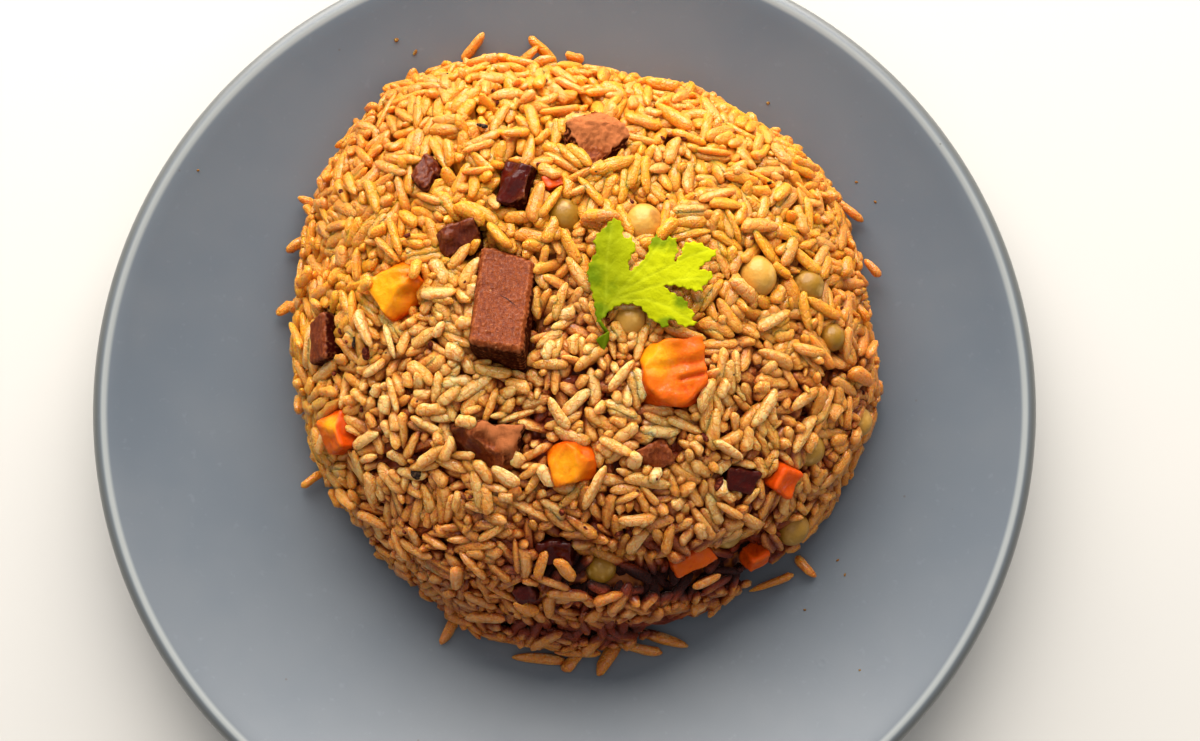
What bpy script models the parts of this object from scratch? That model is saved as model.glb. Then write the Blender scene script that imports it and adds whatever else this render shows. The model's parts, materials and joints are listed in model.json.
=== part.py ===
# Fried rice moulded in a round bowl and turned out on a coupe plate, with
# dice of corned beef and carrot, peas and one herb leaf in and on it.
# Metres, +Z up. The origin is the middle of the plate's foot, on the table.
# Azimuth 0 is +X and 90 degrees is +Y, the far side of the plate.

import math
import random

import bmesh
import bpy
from mathutils import Matrix, Vector, geometry, noise

MM = 0.001
GAP = 0.3 * MM            # clearance left round every piece

# plate
PLATE_RADIUS = 105 * MM
PLATE_HEIGHT = 22 * MM
PLATE_WALL = 4.4 * MM
DISH_FLOOR = 5 * MM       # eating surface at the middle, above the table
DISH_POWER = 2.8          # how late the eating surface turns upwards
FOOT_RADIUS = 62 * MM
FOOT_WIDTH = 5 * MM
FOOT_DEPTH = 2 * MM       # recess inside the foot ring
UNDERSIDE_WALL = 4.6 * MM
UNDERSIDE_SHARES = (0.9, 0.78, 0.67)    # rings of the underside, as shares of the radius
LIP_DROP = 0.6 * MM       # the eating surface ends this far below the lip's top
LIP_START = 118           # azimuth in the section at which the round of the lip begins
LIP_TURN = 40             # degrees from one point of the lip to the next
LIP_STEPS = 5
FOOT_CHAMFER = 0.6 * MM
PLATE_SEGMENTS = 56
DISH_STEPS = 7
DISH_CROWDING = 0.8       # under 1, the rings crowd towards the rim
MERGE_DISTANCE = 0.01 * MM
SMOOTH_ANGLE = 35         # edges sharper than this stay crisp in shading

# heap of rice
HEAP_PLACE = Vector((3.3 * MM, 13.4 * MM))
HEAP_RADIUS = 68 * MM
HEAP_TOP = 58 * MM        # apex above the table
HEAP_HEM = 1.2 * MM       # height of the foot's edge above the dish
HEAP_POWER = 2.3          # 2 is an ellipsoid, more is squarer in section
HEAP_LOBES = (            # waves round the outline: count, height, azimuth of a crest
    (2, 1.8 * MM, -56),
    (3, 1.8 * MM, 16),
    (4, 0.9 * MM, 27),
    (5, 0.9 * MM, -24),
)
HEAP_LUMP = 0.9 * MM
LUMP_LENGTH = 13 * MM
HEAP_SEGMENTS = 52
HEAP_RINGS = 14
RING_CROWDING = 0.92      # under 1, the rings crowd towards the foot
SLOPE_STEP = 0.2 * MM     # distance over which the dome's slope is taken
FOOTPRINT_RINGS = 3
FOOTPRINT_INSET = 0.985   # outermost ring of the underside, as a share of the foot
FOOTPRINT_STEP = 0.3      # share lost from one ring of the underside to the next

# crack low on the near side: azimuth range, distance of each end from the heap's middle
CRACK_AZIMUTHS = (-104, -40)
CRACK_RADII = (48 * MM, 64 * MM)
CRACK_HALF_WIDTH = 6 * MM
CRACK_DEPTH = 4.5 * MM
CRACK_CLOSING = 5         # the crack reaches its depth within one part in this many of its length

# leaf
LEAF_THICKNESS = 0.8 * MM
LEAF_LIFT = 1.9 * MM      # underside above the heap
LEAF_TIP_LIFT = 1.0 * MM  # how much higher the tips are than the stalk
LEAF_REACH = 24 * MM      # from the stalk's end to the longest tip
LEAF_STALK = Vector((8.2 * MM, 11.4 * MM))
LEAF_GRID = 3.2 * MM      # spacing of the points inside the outline
LEAF_COLUMNS = 10
LEAF_ROWS = 9
LEAF_MARGIN = 0.3         # points nearer the edge than this share of the spacing are left out
LEAF_WELD = 0.0001 * MM
# Outline in millimetres from the stalk's end, clockwise from the left margin.
LEAF_OUTLINE = (
    (-1.2, 1.9), (-1.7, 5.7), (-3.2, 12.0), (-1.8, 16.2), (-1.9, 19.0), (0.4, 22.0),
    (2.4, 24.3), (3.9, 23.9), (4.8, 19.9), (6.2, 20.4), (7.5, 17.6), (5.9, 14.6),
    (5.9, 13.0), (9.4, 16.5), (9.9, 18.6), (11.7, 21.0), (14.3, 20.5), (16.1, 19.9),
    (16.4, 17.5), (15.1, 15.0), (17.0, 18.7), (19.6, 19.4), (22.6, 18.0), (24.5, 17.8),
    (20.6, 13.6), (22.9, 13.3), (23.7, 12.0), (21.4, 8.6), (17.7, 9.0), (13.2, 9.6),
    (18.0, 6.7), (19.8, 4.1), (20.4, 1.9), (17.8, 0.9), (14.1, 2.6), (13.5, 0.6),
    (12.4, 0.9), (8.0, 5.1), (4.9, 5.6), (2.0, 4.3), (-0.2, 1.5),
)

BUN = "bun"               # rounded block
BALL = "ball"             # pea

# Each piece: kind, place in plan (mm), size across, along and deep (mm), depth of its
# middle below the heap's surface (mm), turn about the surface normal and lean about
# the X and Y axes (degrees).
MEAT_DICE = {
    "meat_large": (BUN, (-12.4, 16.9), (11.2, 21.8, 10.5), 2.6, -7, (-17, 3)),
    "meat_back": (BUN, (6.8, 53.6), (9.8, 10.6, 10), 1.8, 42, (-20, 4)),
    "meat_dark_mid": (BUN, (-10.0, 43.2), (7, 9.5, 7), 1.6, -14, (14, 0)),
    "meat_dark_left": (BUN, (-22.0, 31.9), (9.4, 5.4, 7), 1.6, 16, (-12, 0)),
    "meat_small_left": (BUN, (-29.6, 47.2), (5.8, 6.6, 6), 1.4, -30, (0, 0)),
    "meat_front": (BUN, (-17.2, -12.4), (16, 10.5, 9.5), 1.8, -8, (-10, 4)),
    "meat_side_left": (BUN, (-53.6, 12.5), (7, 10.5, 7), 3.3, 8, (0, 0)),
    "meat_small_front": (BUN, (19.4, -13.9), (8, 6.4, 6.5), 2.6, 22, (0, 0)),
    "meat_right": (BUN, (38.4, -19.0), (8.4, 5.6, 6.5), 3.2, -12, (0, 0)),
    "meat_crack": (BUN, (-2.0, -35.4), (7.6, 6.8, 7), 3.2, 0, (0, 0)),
    "meat_low": (BUN, (-8.4, -43.6), (6, 5, 6), 2.9, 20, (0, 0)),
}
CARROT_DICE = {
    "carrot_left": (BUN, (-35.1, 22.0), (10.5, 9.6, 8), 2.0, 38, (-6, -6)),
    "carrot_large": (BUN, (23.2, 2.8), (13, 13.4, 9), 2.2, 8, (-8, 4)),
    "carrot_front": (BUN, (1.8, -15.6), (10.4, 8.8, 8), 2.0, 14, (-8, 0)),
    "carrot_side_left": (BUN, (-50.0, -8.1), (7.4, 9.6, 7), 2.4, 24, (0, 0)),
    "carrot_right": (BUN, (47.4, -18.4), (5.6, 6.2, 6), 2.2, -30, (0, 0)),
    "carrot_crack": (BUN, (29.3, -37.6), (9.6, 4.6, 6), 1.6, 28, (0, 0)),
    "carrot_low": (BUN, (44.0, -36.8), (5, 4.4, 5), 1.6, 10, (0, 0)),
    "carrot_back": (BUN, (-2.0, 44.3), (4.4, 3.6, 4.6), 1.6, 20, (0, 0)),
}
PEAS = {
    "pea_back_left": (BALL, (0.2, 37.6), (8.8, 8.6, 8.4), 3.4, 0, (0, 0)),
    "pea_back": (BALL, (17.4, 36.0), (9.4, 9.2, 8.8), 3.3, 0, (0, 0)),
    "pea_right": (BALL, (42.3, 24.7), (8.8, 9.4, 8.6), 3.0, 0, (0, 0)),
    "pea_far_right": (BALL, (54.1, 23.4), (7.6, 7.6, 7.4), 3.1, 0, (0, 0)),
    "pea_side_right": (BALL, (55.2, -12.6), (7.8, 7.8, 7.6), 3.4, 0, (0, 0)),
    "pea_crack_right": (BALL, (37.6, -32.4), (7.6, 7.8, 7.6), 3.2, 0, (0, 0)),
    "pea_low_right": (BALL, (52.4, -30.0), (8.2, 8.2, 8), 3.5, 0, (0, 0)),
    "pea_crack_front": (BALL, (8.6, -41.4), (7.2, 7.2, 7), 3.2, 0, (0, 0)),
    "pea_small_right": (BALL, (58.8, 12.4), (6.4, 6.4, 6.2), 2.4, 0, (0, 0)),
    "pea_under_leaf": (BALL, (14.2, 14.6), (8.2, 8.2, 8), 3.4, 0, (0, 0)),
    "pea_edge_right": (BALL, (66.2, -5.0), (7, 7, 7), 2.6, 0, (0, 0)),
}

# Corners cut off the blocks: direction across, along and out of the heap, and how far
# from the middle (mm) the cut lies.
CORNER_CUTS = {
    "meat_large": (((0.22, 0.97, 0.0), 10.9),),
    "meat_back": (((-0.45, -0.50, 0.74), 2.6),),
    "meat_dark_mid": (((-0.72, 0.20, 0.66), 2.9), ((0.60, -0.75, 0.30), 4.6)),
    "meat_dark_left": (((0.15, -0.77, 0.62), 2.0), ((-0.75, -0.30, 0.59), 4.0)),
    "meat_small_left": (((0.60, 0.50, 0.62), 2.7),),
    "meat_front": (((-0.35, -0.63, 0.69), 2.9), ((0.75, -0.45, 0.48), 7.2), ((-0.55, 0.75, 0.37), 7.0)),
    "meat_small_front": (((-0.70, -0.50, 0.50), 3.6), ((0.60, 0.60, 0.52), 3.8)),
    "carrot_left": (((0.15, -0.85, 0.50), 3.9), ((0.50, 0.50, 0.70), 4.8)),
    "carrot_large": (((0.60, -0.72, 0.35), 7.4), ((-0.62, -0.72, 0.30), 7.4), ((-0.70, 0.60, 0.40), 7.4)),
    "carrot_front": (((0.62, 0.50, 0.60), 4.6), ((-0.55, 0.55, 0.62), 4.9), ((0.50, -0.60, 0.60), 5.2)),
    "carrot_side_left": (((0.30, 0.70, 0.65), 4.0),),
}

BUN_BEVEL = 0.09          # rounding as a share of the shortest side
BUN_SKEW = 0.09           # how far a corner strays, as a share of the side
BUN_GROWTH = 3.2          # a pocket is this many clearances wider than its piece
PEA_SEGMENTS = 10
PEA_RINGS = 7
PEA_GROWTH = 2.4
PEA_DENT = 0.03           # depth of the dents as a share of the size
PEA_DENTS = 3             # how closely the dents follow each other


def clear_scene():
    for thing in list(bpy.data.objects):
        bpy.data.objects.remove(thing, do_unlink=True)


def material(name, colour, roughness):
    finish = bpy.data.materials.new(name)
    finish.use_nodes = True
    shader = finish.node_tree.nodes["Principled BSDF"]
    shader.inputs["Base Color"].default_value = (*colour, 1)
    shader.inputs["Roughness"].default_value = roughness
    shader.inputs["Metallic"].default_value = 0
    return finish


def object_from(mesh_maker, name, finish, parent):
    """One object from a bmesh, shaded smooth where its faces nearly line up."""
    mesh = bpy.data.meshes.new(name)
    bmesh.ops.recalc_face_normals(mesh_maker, faces=mesh_maker.faces)
    mesh_maker.to_mesh(mesh)
    mesh_maker.free()
    mesh.shade_smooth()
    mesh.set_sharp_from_angle(angle=math.radians(SMOOTH_ANGLE))
    mesh.materials.append(finish)
    thing = bpy.data.objects.new(name, mesh)
    bpy.context.scene.collection.objects.link(thing)
    thing.parent = parent
    return thing


def dish_level(radius):
    """Height of the eating surface at a distance from the plate's axis."""
    lip_start = PLATE_RADIUS - PLATE_WALL
    rise = PLATE_HEIGHT - LIP_DROP - DISH_FLOOR
    return DISH_FLOOR + rise * (min(radius, lip_start) / lip_start) ** DISH_POWER


def plate_profile():
    """Half section of the plate as (radius, height), from mid-dish over the lip to the middle beneath."""
    lip_start = PLATE_RADIUS - PLATE_WALL
    points = [(0.0, DISH_FLOOR)]
    for step in range(1, DISH_STEPS + 1):
        radius = lip_start * (step / DISH_STEPS) ** DISH_CROWDING
        points.append((radius, dish_level(radius)))
    lip_radius = PLATE_WALL / 2
    middle = (PLATE_RADIUS - lip_radius, PLATE_HEIGHT - lip_radius)
    for step in range(LIP_STEPS):
        angle = math.radians(LIP_START - step * LIP_TURN)
        points.append((middle[0] + lip_radius * math.cos(angle), middle[1] + lip_radius * math.sin(angle)))
    for share in UNDERSIDE_SHARES:
        radius = PLATE_RADIUS * share
        points.append((radius, dish_level(radius) - UNDERSIDE_WALL))
    points += [
        (FOOT_RADIUS, FOOT_DEPTH - FOOT_CHAMFER),
        (FOOT_RADIUS - FOOT_CHAMFER, 0.0),
        (FOOT_RADIUS - FOOT_WIDTH, 0.0),
        (FOOT_RADIUS - FOOT_WIDTH - FOOT_CHAMFER, FOOT_DEPTH),
        (0.0, FOOT_DEPTH),
    ]
    return points


def make_plate(finish, parent):
    maker = bmesh.new()
    corners = [maker.verts.new((radius, 0, height)) for radius, height in plate_profile()]
    for first, second in zip(corners, corners[1:]):
        maker.edges.new((first, second))
    mesh = bpy.data.meshes.new("plate")
    maker.to_mesh(mesh)
    maker.free()
    mesh.materials.append(finish)
    plate = bpy.data.objects.new("plate", mesh)
    bpy.context.scene.collection.objects.link(plate)
    plate.parent = parent
    turn = plate.modifiers.new("Turn", "SCREW")
    turn.steps = PLATE_SEGMENTS
    turn.render_steps = PLATE_SEGMENTS
    turn.use_merge_vertices = True
    turn.merge_threshold = MERGE_DISTANCE
    turn.use_smooth_shade = True


def outline_radius(azimuth):
    """Distance of the heap's foot from its middle, with the waves of its outline."""
    radius = HEAP_RADIUS
    for count, height, crest in HEAP_LOBES:
        radius += height * math.cos(count * (azimuth - math.radians(crest)))
    return radius


def foot_level(azimuth):
    """Height at which the dome's side begins: just above the dish, which rises outwards."""
    foot = HEAP_PLACE + outline_radius(azimuth) * Vector((math.cos(azimuth), math.sin(azimuth)))
    return dish_level(foot.length) + HEAP_HEM


def heap_level(x, y):
    """Height of the smooth dome above a point in plan."""
    offset = Vector((x, y)) - HEAP_PLACE
    azimuth = math.atan2(offset.y, offset.x)
    share = offset.length / outline_radius(azimuth)
    side = max(1 - share**HEAP_POWER, 0) ** (1 / HEAP_POWER)
    return foot_level(azimuth) + (HEAP_TOP - foot_level(azimuth)) * side


def heap_normal(x, y):
    rise_x = (heap_level(x + SLOPE_STEP, y) - heap_level(x - SLOPE_STEP, y)) / (2 * SLOPE_STEP)
    rise_y = (heap_level(x, y + SLOPE_STEP) - heap_level(x, y - SLOPE_STEP)) / (2 * SLOPE_STEP)
    return Vector((-rise_x, -rise_y, 1)).normalized()


def crack_depth(azimuth, radius):
    """How far the surface falls back in the crack low on the near side."""
    first, last = (math.radians(angle) for angle in CRACK_AZIMUTHS)
    along = (azimuth - first) / (last - first)
    if not 0 < along < 1:
        return 0.0
    middle = CRACK_RADII[0] + (CRACK_RADII[1] - CRACK_RADII[0]) * along
    across = (radius - middle) / CRACK_HALF_WIDTH
    if abs(across) >= 1:
        return 0.0
    ends = min(1, CRACK_CLOSING * along, CRACK_CLOSING * (1 - along))
    return CRACK_DEPTH * ends * math.cos(across * math.pi / 2)


def unevenness(point, azimuth, radius):
    """How far the real surface stands out from the smooth dome at a point of it."""
    lump = 2 * HEAP_LUMP * noise.noise(point / LUMP_LENGTH)
    return lump - crack_depth(azimuth, radius)


def heap_point(azimuth, share):
    """Point on the uneven dome. share runs from 0 at the apex to 1 at the foot."""
    climb = math.radians(90 * (1 - share))
    radius = outline_radius(azimuth) * math.cos(climb) ** (2 / HEAP_POWER)
    foot = foot_level(azimuth)
    height = foot + (HEAP_TOP - foot) * math.sin(climb) ** (2 / HEAP_POWER)
    outward = Vector((math.cos(azimuth), math.sin(azimuth), 0))
    point = Vector((*HEAP_PLACE, height)) + outward * radius
    push = (outward * math.cos(climb) + Vector((0, 0, math.sin(climb)))).normalized()
    return point + push * unevenness(point, azimuth, radius)


def make_heap(finish, parent, cutters):
    maker = bmesh.new()
    apex = maker.verts.new(heap_point(0, 0))
    rings = []
    for ring in range(1, HEAP_RINGS + 1):
        share = (ring / HEAP_RINGS) ** RING_CROWDING
        azimuths = [2 * math.pi * i / HEAP_SEGMENTS for i in range(HEAP_SEGMENTS)]
        azimuths = [angle - 2 * math.pi if angle > math.pi else angle for angle in azimuths]
        rings.append([maker.verts.new(heap_point(angle, share)) for angle in azimuths])
    foot = rings[-1]
    for ring in range(FOOTPRINT_RINGS + 1):
        share = FOOTPRINT_INSET - FOOTPRINT_STEP * ring
        row = []
        for corner in foot:
            plan = HEAP_PLACE + (corner.co.xy - HEAP_PLACE) * share
            row.append(maker.verts.new((*plan, dish_level(plan.length) + GAP)))
        rings.append(row)
    base = maker.verts.new((*HEAP_PLACE, dish_level(HEAP_PLACE.length) + GAP))
    for outer, inner in zip(rings, rings[1:]):
        for i in range(HEAP_SEGMENTS):
            j = (i + 1) % HEAP_SEGMENTS
            maker.faces.new((outer[i], outer[j], inner[j], inner[i]))
    for i in range(HEAP_SEGMENTS):
        j = (i + 1) % HEAP_SEGMENTS
        maker.faces.new((apex, rings[0][i], rings[0][j]))
        maker.faces.new((base, rings[-1][j], rings[-1][i]))
    heap = object_from(maker, "rice_heap", finish, parent)
    hollow = heap.modifiers.new("Pockets", "BOOLEAN")
    hollow.operation = "DIFFERENCE"
    hollow.solver = "EXACT"
    hollow.operand_type = "COLLECTION"
    hollow.collection = cutters


def cut_corners(maker, cuts):
    """Take corners off a block and close it again."""
    for direction, reach in cuts:
        way = Vector(direction).normalized()
        bmesh.ops.bisect_plane(
            maker,
            geom=maker.verts[:] + maker.edges[:] + maker.faces[:],
            plane_co=way * reach * MM,
            plane_no=way,
            clear_outer=True,
        )
        rim = [edge for edge in maker.edges if edge.is_boundary]
        bmesh.ops.holes_fill(maker, edges=rim, sides=0)


def bun_mesh(size, cuts, seed, extra):
    """Rounded block with strayed and cut corners. extra thickens it on every side."""
    picker = random.Random(seed)
    maker = bmesh.new()
    bmesh.ops.create_cube(maker, size=1)
    for corner in maker.verts:
        corner.co += Vector([picker.uniform(-BUN_SKEW, BUN_SKEW) for _ in range(3)])
    for corner in maker.verts:
        corner.co = Vector([part * side for part, side in zip(corner.co, size)])
    cut_corners(maker, cuts)
    bmesh.ops.bevel(
        maker,
        geom=maker.edges[:],
        offset=BUN_BEVEL * min(size),
        offset_type="OFFSET",
        segments=1,
        affect="EDGES",
        clamp_overlap=True,
    )
    bmesh.ops.triangulate(maker, faces=maker.faces[:])
    grow = Vector([1 + BUN_GROWTH * extra / side for side in size])
    for corner in maker.verts:
        corner.co = Vector([part * more for part, more in zip(corner.co, grow)])
    return maker


def pea_mesh(size, seed, extra):
    """Slightly dented ball. extra thickens it on every side."""
    picker = random.Random(seed)
    dent = Vector([picker.uniform(-1, 1) for _ in range(3)])
    maker = bmesh.new()
    bmesh.ops.create_uvsphere(maker, u_segments=PEA_SEGMENTS, v_segments=PEA_RINGS, radius=0.5)
    for corner in maker.verts:
        corner.co *= 1 - PEA_DENT * noise.noise(corner.co * PEA_DENTS + dent)
        corner.co = Vector([part * (side + PEA_GROWTH * extra) for part, side in zip(corner.co, size)])
    return maker


def piece_mesh(name, kind, size, seed, extra):
    if kind == BALL:
        return pea_mesh(size, seed, extra)
    return bun_mesh(size, CORNER_CUTS.get(name, ()), seed, extra)


def pose_of(place, depth, turn, lean):
    """Where a piece sits: sunk along the heap's normal, turned about it, then leant."""
    x, y = (value * MM for value in place)
    normal = heap_normal(x, y)
    surface = Vector((x, y, heap_level(x, y)))
    offset = surface.xy - HEAP_PLACE
    out = unevenness(surface, math.atan2(offset.y, offset.x), offset.length)
    middle = surface + normal * (out - depth * MM)
    upright = Vector((0, 0, 1)).rotation_difference(normal).to_matrix().to_4x4()
    tip = Matrix.Rotation(math.radians(lean[0]), 4, "X") @ Matrix.Rotation(math.radians(lean[1]), 4, "Y")
    return Matrix.Translation(middle) @ tip @ upright @ Matrix.Rotation(math.radians(turn), 4, "Z")


def make_piece(name, seed, row, finish, parent, cutters):
    """A piece and the slightly larger cutter that makes its pocket in the rice."""
    kind, place, size, depth, turn, lean = row
    size = [side * MM for side in size]
    pose = pose_of(place, depth, turn, lean)
    piece = object_from(piece_mesh(name, kind, size, seed, 0), name, finish, parent)
    piece.matrix_world = pose
    pocket = piece_mesh(name, kind, size, seed, GAP)
    cutter = object_from(pocket, "pocket_" + name, finish, parent)
    cutter.matrix_world = pose
    cutter.hide_render = True
    cutter.display_type = "WIRE"
    bpy.context.scene.collection.objects.unlink(cutter)
    cutters.objects.link(cutter)


def leaf_level(x, y):
    """Underside of the leaf: it follows the heap and its tips lift a little."""
    reach = (Vector((x, y)) - LEAF_STALK).length
    return heap_level(x, y) + LEAF_LIFT + LEAF_TIP_LIFT * (reach / LEAF_REACH) ** 2


def make_leaf(finish, parent):
    """Flat outline filled with a grid of points, laid over the heap and thickened."""
    edge = [Vector((x, y)) * MM for x, y in LEAF_OUTLINE]
    count = len(edge)
    points = list(edge)
    for column in range(LEAF_COLUMNS):
        for row in range(LEAF_ROWS):
            spot = Vector((column - 1, row)) * LEAF_GRID
            hits = [geometry.intersect_point_line(spot, edge[i - 1], edge[i])[0] for i in range(count)]
            if min((hit.xy - spot).length for hit in hits) > LEAF_MARGIN * LEAF_GRID:
                points.append(spot)
    border = [(i, (i + 1) % count) for i in range(count)]
    corners, _, faces, *_ = geometry.delaunay_2d_cdt(points, border, [list(range(count))], 1, LEAF_WELD)
    maker = bmesh.new()
    verts = []
    for corner in corners:
        spot = corner + LEAF_STALK
        verts.append(maker.verts.new((spot.x, spot.y, leaf_level(spot.x, spot.y))))
    for face in faces:
        maker.faces.new([verts[i] for i in face])
    for loose in [vert for vert in maker.verts if not vert.link_faces]:
        maker.verts.remove(loose)
    leaf = object_from(maker, "leaf", finish, parent)
    body = leaf.modifiers.new("Body", "SOLIDIFY")
    body.thickness = LEAF_THICKNESS
    body.offset = 1


def main():
    clear_scene()
    dish = bpy.data.objects.new("fried_rice", None)
    bpy.context.scene.collection.objects.link(dish)
    cutters = bpy.data.collections.new("pockets")
    bpy.context.scene.collection.children.link(cutters)
    cutters.hide_render = True

    glaze = material("grey_blue_glaze", (0.26, 0.30, 0.33), 0.45)
    rice = material("fried_rice_grains", (0.62, 0.33, 0.11), 0.5)
    meat = material("corned_beef", (0.30, 0.10, 0.05), 0.45)
    carrot = material("carrot", (0.85, 0.28, 0.02), 0.4)
    pea = material("pea", (0.42, 0.33, 0.09), 0.4)
    herb = material("herb_leaf", (0.42, 0.52, 0.02), 0.5)

    make_plate(glaze, dish)
    seed = 0
    for finish, rows in ((meat, MEAT_DICE), (carrot, CARROT_DICE), (pea, PEAS)):
        for name, row in rows.items():
            seed += 1
            make_piece(name, seed, row, finish, dish, cutters)
    make_heap(rice, dish, cutters)
    make_leaf(herb, dish)


main()
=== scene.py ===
import json
import math

import bmesh
import bpy
import numpy as np
from mathutils import Matrix, Vector, bvhtree, geometry, kdtree, noise

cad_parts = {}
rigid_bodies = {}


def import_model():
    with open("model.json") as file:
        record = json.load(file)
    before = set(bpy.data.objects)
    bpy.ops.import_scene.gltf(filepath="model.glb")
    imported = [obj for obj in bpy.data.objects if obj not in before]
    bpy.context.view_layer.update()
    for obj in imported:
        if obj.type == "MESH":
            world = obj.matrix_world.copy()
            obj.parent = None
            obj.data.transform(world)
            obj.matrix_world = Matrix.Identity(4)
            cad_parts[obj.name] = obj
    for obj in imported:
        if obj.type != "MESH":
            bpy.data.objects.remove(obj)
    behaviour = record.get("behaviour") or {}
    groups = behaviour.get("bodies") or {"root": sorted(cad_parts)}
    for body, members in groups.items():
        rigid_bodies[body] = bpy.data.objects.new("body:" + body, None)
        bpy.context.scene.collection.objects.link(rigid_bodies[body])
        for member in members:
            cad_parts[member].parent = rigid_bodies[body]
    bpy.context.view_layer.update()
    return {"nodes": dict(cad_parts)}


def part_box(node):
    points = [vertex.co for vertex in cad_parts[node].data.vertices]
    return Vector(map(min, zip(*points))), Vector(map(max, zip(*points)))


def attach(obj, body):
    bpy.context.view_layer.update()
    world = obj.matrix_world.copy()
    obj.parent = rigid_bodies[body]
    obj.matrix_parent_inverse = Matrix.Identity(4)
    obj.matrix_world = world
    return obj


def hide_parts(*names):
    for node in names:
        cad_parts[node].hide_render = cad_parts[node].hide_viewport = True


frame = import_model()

mm = 0.001    # sizes below are in millimetres, meshes are in metres
scene = bpy.context.scene
print("frame loaded:", len(frame["nodes"]), "nodes")


def rgb(red, green, blue):    # a colour as a screen shows it, made linear for the shader
    parts = [channel / 255 for channel in (red, green, blue)]
    return tuple(p / 12.92 if p <= 0.04045 else ((p + 0.055) / 1.055) ** 2.4 for p in parts) + (1,)


class Wire:    # a socket that can stand in a Python sum
    def __init__(self, tree, socket):
        self.tree, self.socket = tree, socket

    def maths(self, operation, *values):
        node = newNode(self.tree, "ShaderNodeMath", {"operation": operation}, numbered(values))
        return Wire(self.tree, node.outputs[0])

    def __add__(self, other):
        return self.maths("ADD", self, other)

    def __sub__(self, other):
        return self.maths("SUBTRACT", self, other)

    def __rsub__(self, other):
        return self.maths("SUBTRACT", other, self)

    def __mul__(self, other):
        return self.maths("MULTIPLY", self, other)

    def __pow__(self, other):
        return self.maths("POWER", self, other)

    __radd__ = __add__
    __rmul__ = __mul__

    def ramp(self, low, high):    # 0 at low, 1 at high, smooth between
        node = newNode(self.tree, "ShaderNodeMapRange", {"interpolation_type": "SMOOTHSTEP"},
                       {"Value": self, "From_Min": low, "From_Max": high})
        return Wire(self.tree, node.outputs["Result"])


def plug(tree, slot, value):    # a wire or socket is linked, a constant is set
    source = value.socket if isinstance(value, Wire) else value
    if isinstance(source, bpy.types.NodeSocket):
        tree.links.new(source, slot)
    else:
        slot.default_value = source


def numbered(values):    # keys for sockets that are told apart by their order only
    return {f"_{i}": value for i, value in enumerate(values)}


def newNode(tree, kind, settings, inputs):    # _2 is the third socket, From_Min the one of that name
    node = tree.nodes.new(kind)
    for key, value in (settings or {}).items():
        setattr(node, key, value)
    for key, value in inputs.items():
        plug(tree, node.inputs[int(key[1:]) if key[1:].isdigit() else key.replace("_", " ")], value)
    return node


class Finish:    # one material and the nodes behind it
    def __init__(self, name, **constants):
        self.material = bpy.data.materials.new(name)
        self.material.use_nodes = True
        self.tree = self.material.node_tree
        self.shader = self.tree.nodes["Principled BSDF"]
        self.give(**constants)
        self.place = self.add("ShaderNodeTexCoord", out="Object")

    def add(self, kind, settings=None, out=0, **inputs):
        return Wire(self.tree, newNode(self.tree, kind, settings, inputs).outputs[out])

    def attributes(self, *names):
        return [self.add("ShaderNodeAttribute", {"attribute_name": name}, "Fac") for name in names]

    def noise(self, size, detail=2.0, rough=0.5, vector=None, warp=0.0):    # size in millimetres
        return self.add("ShaderNodeTexNoise", None, "Fac", Vector=vector or self.place,
                        Scale=1 / (size * mm), Detail=detail, Roughness=rough, Distortion=warp)

    def cells(self, size, vector=None, feature="F1"):
        return self.add("ShaderNodeTexVoronoi", {"feature": feature}, "Distance",
                        Vector=vector or self.place, Scale=1 / (size * mm))

    def specks(self, size, small, large, patch, some, most):    # dots at cell middles, in some patches only
        return (1 - self.cells(size).ramp(small, large)) * self.noise(patch, 0).ramp(some, most)

    def paint(self, colour, *coats):    # each coat is a colour and its share over what lies beneath
        for tone, share in coats:
            colour = self.add("ShaderNodeMix", {"data_type": "RGBA"}, 2, _0=share, _6=colour, _7=tone)
        return colour

    def warped(self, size, reach):    # place, shaken by a noise, all in millimetres
        drift = self.add("ShaderNodeTexNoise", None, "Color", Vector=self.place, Scale=1 / (size * mm),
                         Detail=1.0)
        return self.add("ShaderNodeVectorMath", {"operation": "MULTIPLY_ADD"}, 0,
                        _0=drift, _1=(reach * mm,) * 3, _2=self.place)

    def stretch(self, scale, turn):
        return self.add("ShaderNodeMapping", None, 0, Vector=self.place, Scale=scale, Rotation=turn)

    def axes(self):    # place in millimetres
        node = newNode(self.tree, "ShaderNodeSeparateXYZ", None, {"_0": self.place})
        return [Wire(self.tree, out) * (1 / mm) for out in node.outputs]

    def bump(self, height, strength, depth):    # depth in millimetres
        return self.add("ShaderNodeBump", None, "Normal", Height=height, Strength=strength,
                        Distance=depth * mm)

    def give(self, **inputs):
        for key, value in inputs.items():
            plug(self.tree, self.shader.inputs[key.replace("_", " ")], value)
        return self.material


def settle(piece, finish, stands=()):    # link, paint, smooth and let it ride
    if piece.name not in scene.collection.objects:
        scene.collection.objects.link(piece)
    piece.data.materials.clear()
    piece.data.materials.append(finish)
    piece.data.shade_smooth()
    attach(piece, "root")
    if stands:
        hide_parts(*stands)
    return piece


def meshFrom(name, points, faces):    # points in millimetres
    mesh = bpy.data.meshes.new(name)
    mesh.from_pydata((np.asarray(points) * mm).tolist(), [], faces)
    mesh.validate()
    return bpy.data.objects.new(name, mesh)


def pointsOf(mesh):    # in millimetres
    flat = np.zeros(len(mesh.vertices) * 3, np.float32)
    mesh.vertices.foreach_get("co", flat)
    return flat.reshape(-1, 3).astype(float) / mm


def setPoints(mesh, points):
    mesh.vertices.foreach_set("co", (np.asarray(points) * mm).astype(np.float32).ravel())
    mesh.update()


def normalsOf(mesh):
    flat = np.zeros(len(mesh.vertices) * 3, np.float32)
    mesh.vertex_normals.foreach_get("vector", flat)
    return flat.reshape(-1, 3).astype(float)


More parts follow.
